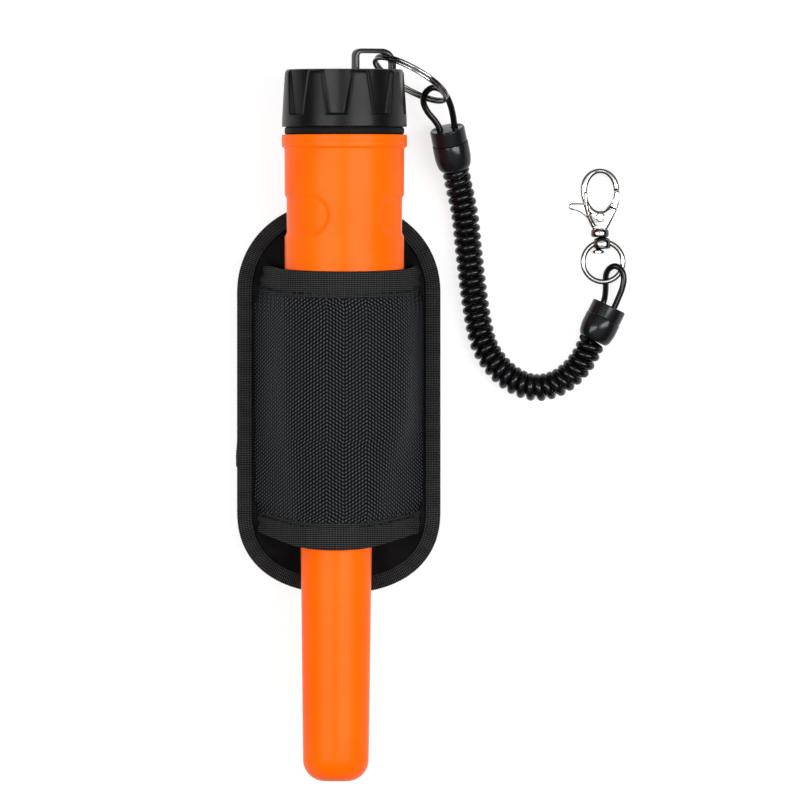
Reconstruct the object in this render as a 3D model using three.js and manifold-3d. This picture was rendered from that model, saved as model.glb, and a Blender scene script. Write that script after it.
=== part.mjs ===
// Handheld pinpointer probe in its padded belt holster, with a coiled lanyard.
// Millimetres. The holster lies on its back: +Z points up from the surface, +Y runs
// along the probe towards its battery cap, +X points to the lanyard.
import * as THREE from 'three';
import { mergeVertices } from 'three/addons/utils/BufferGeometryUtils.js';
import Module from 'manifold-3d';

const wasm = await Module();
wasm.setup();

// ---------------------------------------------------------------- driving dimensions
const GAP = 0.3;                 // clearance between touching pieces

const AXIS_X = 1.86;             // axis of the handle and the cap
const AXIS_Z = 31.0;
const TIP_X = -0.9;              // axis of the slim barrel
const TIP_Y = -118.2;            // sensing tip
const CAP_TOP = 111.5;           // end face of the battery cap
const CAP_BASE = 92.9;
const CAP_R_TOP = 19.5;
const CAP_R_BASE = 20.2;
const CAP_BORE_R = 17.7;
const CAP_CEILING = 108.3;
const CAP_RIM_CHAMFER = 1.5;
const COLLAR_TOP = 90.4;
const COLLAR_BASE = 86.4;
const COLLAR_R = 20.25;
const NECK_TOP = 106.0;
const NECK_R = 17.3;
const BORE_R = 16.2;             // battery compartment
const HANDLE_R_TOP = 19.35;
const HANDLE_R_LOW = 19.05;
const SHOULDER_TOP = 8.0;        // where the handle starts to narrow
const SHOULDER_LOW = -8.0;
const BARREL_R_TOP = 11.9;
const BARREL_R_TIP = 10.6;
const BARREL_WALL = 2.0;

const RECESS_Y = 64.3;           // finger recesses in the handle
const RECESS_HEIGHT = 13.7;
const RECESS_DEPTH = 0.65;
const RECESS_HALF_ANGLES = [55, 76.5];

const BUTTON_Y = 24.0;
const BUTTON_HOLE_R = 4.6;
const LENS_X = 14.6;             // lamp in the shoulder
const LENS_HOLE_R = 3.3;
const BOARD_X = 3.0;             // near face of the circuit board
const BOARD_THICK = 1.6;
const BOARD_LOW = -58.0;
const BOARD_STEP = 9.0;          // the board widens here
const BOARD_TOP = 42.0;
const BOARD_HALF_SLIM = 7.0;
const BOARD_HALF_WIDE = 13.0;
const BATTERY = [26.5, 48.5, 17.5];
const BATTERY_LOW = 52.0;
const BULKHEAD_TOP = 47.8;
const COIL_LOW = -111.7;         // search coil on its ferrite rod
const COIL_HIGH = -67.7;

const CAP_RECESSES = 8;
const CAP_RECESS_PHASE = 97;     // degrees round from +X to the middle of one recess
const CAP_RECESS_LOW = 96.6;
const CAP_RECESS_DEPTH = 0.9;
const BAIL_X = 11.35;            // wire-like loop on the cap for the split ring
const BAIL_TURN = 25;
const BAIL_HALF = 6.6;
const BAIL_HEIGHT = 6.0;
const BAIL_BAR = 1.4;
const BAIL_DEPTH = 2.6;
const BAIL_SOCKET = 2.0;
const BAIL_CORNERS = [1.6, 4.2];

const PANEL_HALF_WIDTH = 33.0;   // holster back panel with its binding
const PANEL_TOP = 69.4;
const PANEL_LOW = -57.8;
const PANEL_Z = 6.2;
const PANEL_THICK = 4.4;
const BINDING_WIDTH = 4.8;
const BINDING_SKIN = 0.45;

// where the pocket is sewn to the panel: [y, x] down each side
const SEAM_LEFT = [[48.6, -22.7], [40.0, -24.6], [36.0, -25.9], [-27.0, -25.9], [-31.0, -24.4]];
const SEAM_RIGHT = [[48.6, 24.3], [40.0, 24.9], [36.0, 26.0], [-27.0, 26.0], [-31.0, 24.7]];
const POCKET_R_TOP = 20.2;
const POCKET_R_LOW = 13.4;
const POCKET_TAPER_TOP = 2.0;     // the pocket narrows from here down
const POCKET_TAPER = 42.0;
const POCKET_SKIN = 1.3;
const HEM_SKIN = 1.9;

const LOOP_HALF_WIDTH = 25.0;    // webbing belt loop behind the panel
const LOOP_TOP = 46.0;
const LOOP_LOW = -38.0;
const LOOP_SEAM = 8.0;
const LOOP_SKIN = 1.6;

const RING_CENTRE = new THREE.Vector3(23.2, 108.5, 22.4);   // split ring
const RING_R = 13.5;
const RING_RADIAL = 1.0;
const RING_AXIAL = 1.4;
const RING_TILT = 0.26;          // how far the ring leans from the vertical
const RING_HEADING = -29.4;

const CORD_R = 1.05;             // plain cord of both end loops
const COIL_R = 4.5;              // outside of the coiled cord
const FERRULE_R = 5.85;
const FERRULE_NECK_R = 4.4;

const UPPER_FERRULE = [new THREE.Vector3(37.7, 79.5, 7.4), new THREE.Vector3(35.0, 92.6, 11.1)];
const LOWER_FERRULE = [new THREE.Vector3(82.2, 24.2, 6.1), new THREE.Vector3(87.6, 35.3, 6.1)];
const UPPER_LOOP = [[32.58, 92.45, 11.19], [32.35, 93.6, 11.5], [30.4, 95.9, 12.2], [28.2, 98.6, 13.0],
  [27.2, 101.6, 14.0], [28.2, 104.6, 15.6], [30.4, 106.1, 16.6], [32.9, 105.4, 16.9], [34.6, 103.2, 16.4],
  [35.9, 100.4, 15.2], [36.7, 97.4, 13.4], [37.05, 94.6, 11.55], [37.28, 93.42, 11.19]];
const COIL_ROUTE = [[37.8, 79.07, 7.28], [38.3, 76.6, 6.58], [38.9, 73.6, 5.75], [39.8, 69.8, 4.95],
  [40.8, 64.6, 4.6], [41.4, 59.4, 4.6], [41.9, 54.2, 4.6], [42.5, 49, 4.6], [43.1, 43.8, 4.6],
  [43.8, 38.4, 4.6], [44.6, 33.2, 4.6], [45.5, 28.2, 4.6], [46.9, 22.9, 4.6], [49.7, 17.8, 4.6],
  [54.1, 13, 4.6], [59.2, 9.9, 4.6], [64.4, 8.8, 4.6], [70.3, 10.1, 4.8], [75.3, 13.5, 5.3],
  [79.0, 17.9, 5.9], [80.8, 21.3, 6.1], [81.99, 23.76, 6.1]];
const LOWER_LOOP = [[85.77, 36.57, 6.1], [86.25, 37.6, 5.9], [86.5, 40.2, 3.8], [86.5, 43.2, 1.35],
  [86.5, 45.4, 2.4], [87.6, 47.4, 4.5], [89.5, 48.1, 6.0], [91.3, 47.0, 6.3], [92.2, 44.4, 6.2],
  [91.7, 41.0, 6.1], [90.4, 37.9, 6.1], [89.7, 35.95, 6.1], [89.19, 34.91, 6.1]];

const CLASP_RING_CENTRE = new THREE.Vector3(85.5, 49.5, 3.7);
const CLASP_RING_R = 6.45;
const CLASP_WIRE_R = 0.85;
const CLASP_X = 84.5;            // swivel axis of the clasp
const CLASP_Z = 3.7;
const CLASP_THICK = 4.2;
const PIVOT = new THREE.Vector2(84.6, 63.9);
const PIVOT_HOLE_R = 0.95;
const HOOK_LOW = 59.6;
const SLOT_LOW = 62.1;           // slot in the hook that holds the gate
const SLOT_HIGH = 68.9;
const SLOT_HALF = 1.2;

const ORANGE = { color: 0xf06a14, roughness: 0.42, metalness: 0 };
const BLACK = { color: 0x17181a, roughness: 0.5, metalness: 0 };
const GLOSS_BLACK = { color: 0x0d0e10, roughness: 0.2, metalness: 0 };
const FABRIC = { color: 0x1c1f24, roughness: 0.95, metalness: 0 };
const CHROME = { color: 0xd9dbde, roughness: 0.12, metalness: 1 };
const COPPER = { color: 0xb86b3a, roughness: 0.35, metalness: 1 };
const BOARD = { color: 0x1f6b3a, roughness: 0.5, metalness: 0 };
const GREY = { color: 0x5a5d61, roughness: 0.6, metalness: 0 };
const RED = { color: 0xb01515, roughness: 0.5, metalness: 0 };
const CLEAR = { color: 0xdfe8ee, roughness: 0.08, metalness: 0 };

// ---------------------------------------------------------------- geometry helpers
const pinpointer = new THREE.Group();

function add(name, geometry, look) {
  const mesh = new THREE.Mesh(geometry, new THREE.MeshStandardMaterial(look));
  mesh.name = name;
  pinpointer.add(mesh);
  return mesh;
}

function toSolid(geometry) {
  const bare = geometry.clone();
  for (const name of Object.keys(bare.attributes)) {
    if (name !== 'position') bare.deleteAttribute(name);
  }
  const merged = mergeVertices(bare, 1e-4);
  return new wasm.Manifold(new wasm.Mesh({
    numProp: 3,
    vertProperties: new Float32Array(merged.attributes.position.array),
    triVerts: new Uint32Array(merged.index.array),
  }));
}

function toGeometry(solid) {
  const mesh = solid.getMesh();
  const geometry = new THREE.BufferGeometry();
  geometry.setAttribute('position', new THREE.BufferAttribute(mesh.vertProperties, 3));
  geometry.setIndex(new THREE.BufferAttribute(mesh.triVerts, 1));
  return geometry;
}

function cut(geometry, ...tools) {
  return toGeometry(tools.reduce((rest, tool) => rest.subtract(toSolid(tool)), toSolid(geometry)));
}

function join(geometry, ...others) {
  return toGeometry(others.reduce((whole, other) => whole.add(toSolid(other)), toSolid(geometry)));
}

function box(x0, x1, y0, y1, z0, z1) {
  const geometry = new THREE.BoxGeometry(x1 - x0, y1 - y0, z1 - z0);
  return geometry.translate((x0 + x1) / 2, (y0 + y1) / 2, (z0 + z1) / 2);
}

// A profile of [radius, y] points turned about a line parallel to Y.
function turned(profile, segments, x = AXIS_X, z = AXIS_Z) {
  const points = profile.map(([r, y]) => new THREE.Vector2(r, y));
  return new THREE.LatheGeometry(points, segments).translate(x, 0, z);
}

function rod(radius, y0, y1, segments, x = AXIS_X, z = AXIS_Z) {
  return turned([[0, y0], [radius, y0], [radius, y1], [0, y1]], segments, x, z);
}

function sleeve(inner, outer, y0, y1, segments, x = AXIS_X, z = AXIS_Z) {
  return turned([[inner, y0], [outer, y0], [outer, y1], [inner, y1], [inner, y0]], segments, x, z);
}

function plate(outline, z0, z1, holes = []) {
  const shape = new THREE.Shape(outline);
  shape.holes = holes.map((hole) => new THREE.Path(hole));
  const geometry = new THREE.ExtrudeGeometry(shape, { depth: z1 - z0, bevelEnabled: false });
  return geometry.translate(0, 0, z0);
}

function circle(radius, sides, x = 0, y = 0) {
  const points = [];
  for (let i = 0; i < sides; i += 1) {
    const angle = (2 * Math.PI * i) / sides;
    points.push(new THREE.Vector2(x + radius * Math.cos(angle), y + radius * Math.sin(angle)));
  }
  return points;
}

function arcPoints(x, y, radius, from, to, steps, height = radius) {
  const points = [];
  for (let i = 0; i <= steps; i += 1) {
    const angle = THREE.MathUtils.degToRad(from + ((to - from) * i) / steps);
    points.push(new THREE.Vector2(x + radius * Math.cos(angle), y + height * Math.sin(angle)));
  }
  return points;
}

function tube(route, radius, sides, steps) {
  const points = route.map(([x, y, z]) => new THREE.Vector3(x, y, z));
  const path = new THREE.CatmullRomCurve3(points, false, 'centripetal');
  const section = new THREE.Shape(circle(radius, sides));
  return new THREE.ExtrudeGeometry(section, { steps, extrudePath: path, bevelEnabled: false });
}

// A closed skin over rings of equal length, with a flat fan over the first and last ring.
function loft(rings) {
  const count = rings[0].length;
  const index = wallIndex(rings);
  for (let i = 1; i + 1 < count; i += 1) {
    const last = (rings.length - 1) * count;
    index.push(0, i + 1, i, last, last + i, last + i + 1);
  }
  return outward(rings.flat(), index);
}

// A loft whose end rings are long thin strips, closed quad by quad.
function bandLoft(rings) {
  const count = rings[0].length;
  const index = wallIndex(rings);
  const last = (rings.length - 1) * count;
  for (let i = 0; i + 1 < count / 2; i += 1) {
    const far = count - 1 - i;
    index.push(i, far, i + 1, i + 1, far, far - 1);
    index.push(last + i, last + i + 1, last + far, last + i + 1, last + far - 1, last + far);
  }
  return outward(rings.flat(), index);
}

function wallIndex(rings) {
  const count = rings[0].length;
  const index = [];
  for (let r = 0; r + 1 < rings.length; r += 1) {
    for (let i = 0; i < count; i += 1) {
      const a = r * count + i;
      const b = r * count + ((i + 1) % count);
      index.push(a, b, a + count, b, b + count, a + count);
    }
  }
  return index;
}

function outward(points, index) {
  let volume = 0;
  for (let i = 0; i < index.length; i += 3) {
    const [a, b, c] = [points[index[i]], points[index[i + 1]], points[index[i + 2]]];
    volume += a.dot(new THREE.Vector3().crossVectors(b, c));
  }
  const faces = volume < 0 ? index.slice().reverse() : index;
  const geometry = new THREE.BufferGeometry().setFromPoints(points);
  geometry.setIndex(faces);
  return geometry;
}

function along(y, table) {
  for (let i = 0; i + 1 < table.length; i += 1) {
    const [y0, v0] = table[i];
    const [y1, v1] = table[i + 1];
    if (y <= y0 && y >= y1) return v0 + ((v1 - v0) * (y0 - y)) / (y0 - y1);
  }
  return y > table[0][0] ? table[0][1] : table[table.length - 1][1];
}

function smooth(t) {
  const s = Math.min(1, Math.max(0, t));
  return s * s * (3 - 2 * s);
}

// ---------------------------------------------------------------- probe housing
// The slim barrel sits off the handle's axis, so the centre moves across the shoulder.
function axisX(y) {
  return along(y, [[SHOULDER_TOP, AXIS_X], [SHOULDER_LOW, TIP_X + 0.2], [TIP_Y, TIP_X]]);
}

function housingRing(y, radius) {
  return circle(radius, 36, axisX(y), AXIS_Z).map((p) => new THREE.Vector3(p.x, y, p.y));
}

function fingerRecess(centreAngle, halfAngle) {
  const end = RECESS_HEIGHT / 2;
  const deep = HANDLE_R_LOW + 0.15 - RECESS_DEPTH;
  const half = THREE.MathUtils.degToRad(halfAngle) * HANDLE_R_LOW;
  const steps = Math.round(halfAngle / 4);
  const rings = [];
  for (let i = -steps; i <= steps; i += 1) {
    const u = (i / steps) * half;
    const over = Math.max(0, Math.abs(u) - (half - end));
    const v = Math.max(0.4, Math.sqrt(Math.max(0, end * end - over * over)));
    const angle = THREE.MathUtils.degToRad(centreAngle) + u / HANDLE_R_LOW;
    const corners = [[deep, -v], [deep, v], [deep + 3, v], [deep + 3, -v]];
    rings.push(corners.map(([r, dy]) => new THREE.Vector3(
      AXIS_X + r * Math.cos(angle), RECESS_Y + dy, AXIS_Z + r * Math.sin(angle))));
  }
  return loft(rings);
}

function makeHousing() {
  const inside = [
    [TIP_Y + 2.4, 6.0], [TIP_Y + 4.5, BARREL_R_TIP - BARREL_WALL],
    [SHOULDER_LOW, BARREL_R_TOP - BARREL_WALL], [SHOULDER_TOP + 1, BORE_R], [NECK_TOP, BORE_R],
  ];
  const outside = [
    [NECK_TOP, NECK_R], [COLLAR_TOP, NECK_R], [COLLAR_TOP, COLLAR_R], [COLLAR_BASE, COLLAR_R],
    [COLLAR_BASE - 0.5, HANDLE_R_TOP], [SHOULDER_TOP, HANDLE_R_LOW], [SHOULDER_LOW, BARREL_R_TOP],
    [TIP_Y + 6, BARREL_R_TIP], [TIP_Y + 3.4, BARREL_R_TIP - 0.7], [TIP_Y + 1.4, BARREL_R_TIP - 2.2],
    [TIP_Y + 0.3, BARREL_R_TIP - 4.6], [TIP_Y, 2.4],
  ];
  const shell = loft([...inside, ...outside].map(([y, r]) => housingRing(y, r)));
  const buttonHole = rod(BUTTON_HOLE_R, 0, 12, 16, 0, 0).rotateZ(-Math.PI / 2);
  buttonHole.translate(AXIS_X + 12, BUTTON_Y, AXIS_Z);
  const lensHole = rod(LENS_HOLE_R, -9, 9, 16, LENS_X, AXIS_Z);
  add('probe_housing', cut(shell, fingerRecess(0, RECESS_HALF_ANGLES[0]),
    fingerRecess(180, RECESS_HALF_ANGLES[1]), buttonHole, lensHole), ORANGE);
}

// ---------------------------------------------------------------- inside the probe
function makePowerButton() {
  const stem = 1.7;
  const flange = 6.0;
  const cap = BUTTON_HOLE_R - GAP;
  const profile = [[0, 0], [stem, 0], [stem, 3.8], [flange, 3.8], [flange, 4.9], [cap, 4.9], [cap, 9.1],
    [cap - 0.6, 9.6], [0, 9.6]];
  const button = turned(profile, 20, 0, 0).rotateZ(-Math.PI / 2);
  add('power_button', button.translate(BOARD_X + 8.9, BUTTON_Y, AXIS_Z), BLACK);
  const face = BOARD_X + BOARD_THICK + GAP;
  const switchBody = box(face, face + 4, BUTTON_Y - 3, BUTTON_Y + 3, AXIS_Z - 3, AXIS_Z + 3);
  const plunger = rod(stem, 0, 2.1, 12, 0, 0).rotateZ(-Math.PI / 2);
  plunger.translate(BOARD_X + 5.8, BUTTON_Y, AXIS_Z);
  add('tact_switch', join(switchBody, plunger), GREY);
}

function makeBoard() {
  const [slim, wide] = [BOARD_HALF_SLIM, BOARD_HALF_WIDE];
  const outline = [[BOARD_LOW, -slim], [BOARD_STEP, -slim], [BOARD_STEP, -wide], [BOARD_TOP, -wide],
    [BOARD_TOP, wide], [BOARD_STEP, wide], [BOARD_STEP, slim], [BOARD_LOW, slim]];
  const shape = new THREE.Shape(outline.map(([y, z]) => new THREE.Vector2(y, z)));
  const board = new THREE.ExtrudeGeometry(shape, { depth: BOARD_THICK, bevelEnabled: false });
  board.rotateX(Math.PI / 2).rotateZ(Math.PI / 2).translate(BOARD_X, 0, AXIS_Z);
  add('circuit_board', board, BOARD);
  add('control_chip', box(BOARD_X - 2.1, BOARD_X - GAP, -16, -6, AXIS_Z - 5, AXIS_Z + 5), BLACK);
  const buzzer = rod(8.5, 0, 5, 20, 0, 0).rotateZ(Math.PI / 2);
  add('buzzer', buzzer.translate(BOARD_X - GAP, 27, AXIS_Z), BLACK);
  add('vibration_motor', rod(3.5, 30.5, 42, 16, 11.2, AXIS_Z - 5.5), GREY);
}

function makeLamp() {
  const dome = [[0, -6.4], [1.6, -6.0], [2.6, -5.0], [3.0, -3.6], [3.0, 1.5], [0, 1.5]];
  add('led_lens', turned(dome, 16, LENS_X, AXIS_Z), CLEAR);
  const led = [[0, 1.8], [1.5, 2.1], [2.4, 3.4], [2.4, 8.2], [0, 8.2]];
  add('led', turned(led, 16, LENS_X, AXIS_Z), CLEAR);
  const face = BOARD_X + BOARD_THICK + GAP;
  add('led_holder', box(face, LENS_X - 2.7, 2.8, 7.8, AXIS_Z - 2.5, AXIS_Z + 2.5), BLACK);
}

// A box mirrored to one side of the axis, from z near to z far.
function sideBox(x0, x1, y0, y1, near, far, side) {
  const [z0, z1] = side > 0 ? [near, far] : [-far, -near];
  return box(x0, x1, y0, y1, AXIS_Z + z0, AXIS_Z + z1);
}

function makeChassis() {
  const rear = BULKHEAD_TOP;
  const bulkhead = rod(15.8, rear - 2.4, rear, 28);
  const spines = [1, -1].map((side) => sideBox(AXIS_X - 6, AXIS_X + 6, rear - 1, 99, 9.2, 12.2, side));
  const rails = [1, -1].map((side) => sideBox(BOARD_X - 1.6, BOARD_X + 3.2, 10, rear - 1, 11.6, 14.6, side));
  const slot = box(BOARD_X - GAP, BOARD_X + BOARD_THICK + GAP, 0, BOARD_TOP + GAP,
    AXIS_Z - BOARD_HALF_WIDE - GAP, AXIS_Z + BOARD_HALF_WIDE + GAP);
  const passage = rod(3, rear - 5, rear + 3, 12, AXIS_X - 9, AXIS_Z);
  add('inner_chassis', cut(join(bulkhead, ...spines, ...rails), slot, passage), GREY);
}

function makeBattery() {
  const [width, length, depth] = BATTERY;
  const x0 = AXIS_X - width / 2;
  const z0 = AXIS_Z - depth / 2;
  add('battery', box(x0, x0 + width, BATTERY_LOW, BATTERY_LOW + length, z0, z0 + depth), GREY);
  const snapTop = BATTERY_LOW - GAP;
  const snap = box(x0 + 0.6, x0 + width - 0.6, snapTop - 3.2, snapTop, z0 + 1, z0 + depth - 1);
  add('battery_snap', snap, BLACK);
  const padLow = BATTERY_LOW + length + GAP;
  add('battery_pad', rod(14, padLow, CAP_CEILING - GAP, 24), GREY);
}

function makeSensor() {
  const x = TIP_X;
  const [low, high] = [COIL_LOW, COIL_HIGH];
  add('ferrite_rod', rod(4.8, low + 0.5, high + 4, 16, x), BLACK);
  const spool = [[5.1, low], [8.1, low], [8.1, low + 1.5], [5.9, low + 1.5], [5.9, high - 1.5],
    [8.1, high - 1.5], [8.1, high], [5.1, high], [5.1, low]];
  add('coil_bobbin', turned(spool, 20, x), BLACK);
  add('search_coil', sleeve(6.2, 7.9, low + 1.8, high - 1.8, 20, x), COPPER);
  add('tip_cushion', rod(5.4, TIP_Y + 2.7, low - GAP, 16, x), GREY);
}

function makeLeads() {
  const z = AXIS_Z;
  const coilLead = [[5.6, -67.2, z], [5.6, -64.5, z], [4.7, -61.4, z], [3.8, -58.4, z]];
  add('coil_lead', tube(coilLead, 0.45, 8, 8), COPPER);
  const lead = (side) => [[AXIS_X - 9, 47.9, z + side], [AXIS_X - 9, 43, z + side], [-5.5, 38, z + side * 3],
    [0, 37.6, z + side * 4.5], [BOARD_X - GAP - 0.1, 37.6, z + side * 5]];
  add('battery_lead_positive', tube(lead(1), 0.7, 8, 12), RED);
  add('battery_lead_negative', tube(lead(-1), 0.7, 8, 12), BLACK);
}

// ---------------------------------------------------------------- battery cap
function capRecess(index) {
  const middle = CAP_RECESS_PHASE + (360 / CAP_RECESSES) * index;
  const rings = [[CAP_RECESS_LOW, 9.75], [CAP_TOP + 1, 17.2]].map(([y, half]) => {
    const floor = CAP_R_TOP - CAP_RECESS_DEPTH + 0.15;
    const corners = [[floor, -half + 2], [floor, 0], [floor, half - 2], [floor + 3, half + 3],
      [floor + 3.4, 0], [floor + 3, -half - 3]];
    return corners.map(([r, turn]) => {
      const angle = THREE.MathUtils.degToRad(middle + turn);
      return new THREE.Vector3(AXIS_X + r * Math.cos(angle), y, AXIS_Z + r * Math.sin(angle));
    });
  });
  return loft(rings);
}

function placeBail(geometry) {
  return geometry.rotateY(THREE.MathUtils.degToRad(BAIL_TURN)).translate(BAIL_X, CAP_TOP, AXIS_Z);
}

// The bail's bar, grown all round; its left corner is tighter than its right one.
function bailBar(grow, foot) {
  const half = BAIL_BAR / 2 + grow;
  const [tight, wide] = BAIL_CORNERS;
  const side = (offset) => [
    new THREE.Vector2(-BAIL_HALF - offset, foot),
    ...arcPoints(tight - BAIL_HALF, BAIL_HEIGHT - tight, tight + offset, 180, 90, 4),
    ...arcPoints(BAIL_HALF - wide, BAIL_HEIGHT - wide, wide + offset, 90, 0, 6),
    new THREE.Vector2(BAIL_HALF + offset, foot),
  ];
  const outline = [...side(half), ...side(-half).reverse()];
  return placeBail(plate(outline, -BAIL_DEPTH / 2 - grow, BAIL_DEPTH / 2 + grow));
}

function makeCap() {
  const profile = [[0, CAP_CEILING], [CAP_BORE_R, CAP_CEILING], [CAP_BORE_R, CAP_BASE],
    [CAP_R_BASE, CAP_BASE], [CAP_R_BASE - 0.1, CAP_RECESS_LOW - 0.6], [CAP_R_TOP, CAP_TOP - CAP_RIM_CHAMFER],
    [CAP_R_TOP - CAP_RIM_CHAMFER, CAP_TOP], [0, CAP_TOP]];
  const recesses = Array.from({ length: CAP_RECESSES }, (_, index) => capRecess(index));
  const sockets = bailBar(GAP, -BAIL_SOCKET - GAP);
  add('battery_cap', cut(turned(profile, 48), ...recesses, sockets), BLACK);
  add('lanyard_bail', bailBar(0, -BAIL_SOCKET), GLOSS_BLACK);
  add('cap_gasket', sleeve(NECK_R + GAP, HANDLE_R_TOP - 0.05, COLLAR_TOP + GAP, CAP_BASE - GAP, 36), BLACK);
}

// ---------------------------------------------------------------- holster
// Half-ellipse-like ends on straight sides, drawn in by inset.
function panelOutline(inset) {
  const points = [];
  const ends = [[39.4, PANEL_TOP - 39.4, 2.1, 1], [-30.8, PANEL_LOW + 30.8, 2.3, -1]];
  for (const [centre, reach, power, side] of ends) {
    for (let i = 0; i <= 16; i += 1) {
      const angle = (Math.PI * i) / 16;
      const c = Math.cos(angle) * side;
      const s = Math.sin(angle);
      const x = Math.sign(c) * Math.abs(c) ** (2 / power) * (PANEL_HALF_WIDTH - inset);
      const y = centre + s ** (2 / power) * (reach - Math.sign(reach) * inset);
      points.push(new THREE.Vector2(x, y));
    }
  }
  return points;
}

function makePanel() {
  add('back_panel', plate(panelOutline(BINDING_SKIN + GAP), PANEL_Z, PANEL_Z + PANEL_THICK), FABRIC);
  const low = PANEL_Z - GAP - BINDING_SKIN;
  const high = PANEL_Z + PANEL_THICK + GAP + BINDING_SKIN;
  const whole = plate(panelOutline(0), low, high);
  const groove = plate(panelOutline(BINDING_SKIN), PANEL_Z - GAP, PANEL_Z + PANEL_THICK + GAP);
  const middle = plate(panelOutline(BINDING_WIDTH), low - 1, high + 1);
  add('edge_binding', cut(whole, groove, middle), FABRIC);
}

function makeBeltLoop() {
  const [low, high] = [LOOP_LOW, LOOP_TOP];
  const seam = PANEL_Z - GAP;
  const profile = [[low, 0], [high, 0], [high, seam], [high - LOOP_SEAM, seam],
    [high - LOOP_SEAM, LOOP_SKIN], [low + LOOP_SEAM, LOOP_SKIN], [low + LOOP_SEAM, seam], [low, seam]];
  const shape = new THREE.Shape(profile.map(([y, z]) => new THREE.Vector2(y, z)));
  const strap = new THREE.ExtrudeGeometry(shape, { depth: 2 * LOOP_HALF_WIDTH, bevelEnabled: false });
  strap.rotateX(Math.PI / 2).rotateZ(Math.PI / 2).translate(-LOOP_HALF_WIDTH, 0, 0);
  add('belt_loop', strap, FABRIC);
}

// One cross-section of the pocket: up from one seam, round the probe and down to the other.
function pocketSection(seamY, middleY, grow) {
  const narrowing = smooth((POCKET_TAPER_TOP - middleY) / POCKET_TAPER);
  const radius = POCKET_R_TOP + (POCKET_R_LOW - POCKET_R_TOP) * narrowing + grow;
  const x = AXIS_X + (TIP_X - AXIS_X) * narrowing;
  const foot = PANEL_Z + PANEL_THICK + BINDING_SKIN + 2 * GAP;
  const side = (footX, sign) => {
    const [dx, dz] = [(footX - x) * sign, foot - AXIS_Z];
    const touch = Math.atan2(dz, dx) + Math.acos(radius / Math.hypot(dx, dz));
    return THREE.MathUtils.radToDeg(sign > 0 ? touch : Math.PI - touch);
  };
  const left = new THREE.Vector2(along(seamY, SEAM_LEFT) - grow, foot);
  const right = new THREE.Vector2(along(seamY, SEAM_RIGHT) + grow, foot);
  const arc = arcPoints(x, AXIS_Z, radius, side(left.x, -1), side(right.x, 1), 14);
  const straight = (from, to) => [0, 0.5].map((t) => from.clone().lerp(to, t));
  const last = arc[arc.length - 1];
  return [...straight(left, arc[0]), ...arc, ...straight(right, last).reverse()];
}

// A band of the pocket between two edges; each edge is [y at the seams, y over the middle].
function pocketBand(upper, lower, skin, stations) {
  const rings = [];
  for (let i = 0; i <= stations; i += 1) {
    const t = i / stations;
    const seamY = upper[0] + (lower[0] - upper[0]) * t;
    const crownY = upper[1] + (lower[1] - upper[1]) * t;
    const lift = (section) => {
      const zs = section.map((p) => p.y);
      const [foot, crown] = [Math.min(...zs), Math.max(...zs)];
      const rise = (p) => (p.y - foot) / (crown - foot);
      return section.map((p) => new THREE.Vector3(p.x, seamY + (crownY - seamY) * rise(p), p.y));
    };
    const [inner, outer] = [0, skin].map((grow) => lift(pocketSection(seamY, crownY, grow)));
    rings.push([...inner, ...outer.reverse()]);
  }
  return bandLoft(rings);
}

function makePocket() {
  const edges = [[48.6, 46.2], [40.0, 37.3], [-31.0, -34.6], [-38.3, -43.6]];
  const below = ([seam, crown]) => [seam - GAP, crown - GAP];
  add('pocket_top_hem', pocketBand(edges[0], edges[1], HEM_SKIN, 2), FABRIC);
  add('pocket_front', pocketBand(below(edges[1]), edges[2], POCKET_SKIN, 12), FABRIC);
  add('pocket_bottom_hem', pocketBand(below(edges[2]), edges[3], HEM_SKIN, 2), FABRIC);
}

// ---------------------------------------------------------------- lanyard
function makeSplitRing() {
  const [inner, outer, half] = [RING_R - RING_RADIAL, RING_R, RING_AXIAL / 2];
  const ring = sleeve(inner, outer, -half, half, 40, 0, 0);
  ring.rotateX(-Math.asin(RING_TILT));
  ring.rotateZ(THREE.MathUtils.degToRad(RING_HEADING));
  add('split_ring', ring.translate(RING_CENTRE.x, RING_CENTRE.y, RING_CENTRE.z), CHROME);
}

// Both halves of a ferrule, set on the line from its coil end to its loop end.
function makeFerrule(prefix, [coil, loop]) {
  const length = coil.distanceTo(loop);
  const seam = length * 0.66;
  const shell = [[0, 0], [FERRULE_NECK_R, 0], [FERRULE_NECK_R + 0.9, 1.2], [FERRULE_R - 0.2, 2.8],
    [FERRULE_R, 4.2], [FERRULE_R, seam - GAP], [0, seam - GAP]];
  const plugR = FERRULE_R - 0.2;
  const plug = [[0, seam], [plugR, seam], [plugR, length - 0.3], [plugR - 0.3, length], [0, length]];
  const aim = new THREE.Quaternion().setFromUnitVectors(
    new THREE.Vector3(0, 1, 0), loop.clone().sub(coil).normalize());
  for (const [part, profile] of [['sleeve', shell], ['plug', plug]]) {
    const mesh = add(`${prefix}_ferrule_${part}`, turned(profile, 20, 0, 0), GLOSS_BLACK);
    mesh.quaternion.copy(aim);
    mesh.position.copy(coil);
  }
}

function makeCords() {
  add('upper_cord_loop', tube(UPPER_LOOP, CORD_R, 8, 26), GLOSS_BLACK);
  add('coiled_cord', tube(COIL_ROUTE, COIL_R, 12, 40), GLOSS_BLACK);
  add('lower_cord_loop', tube(LOWER_LOOP, CORD_R - 0.05, 8, 26), GLOSS_BLACK);
}

// ---------------------------------------------------------------- clasp
function claspTorus(radius) {
  const torus = new THREE.TorusGeometry(CLASP_RING_R, radius, 8, 28);
  return torus.translate(CLASP_RING_CENTRE.x, CLASP_RING_CENTRE.y, CLASP_RING_CENTRE.z);
}

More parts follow.
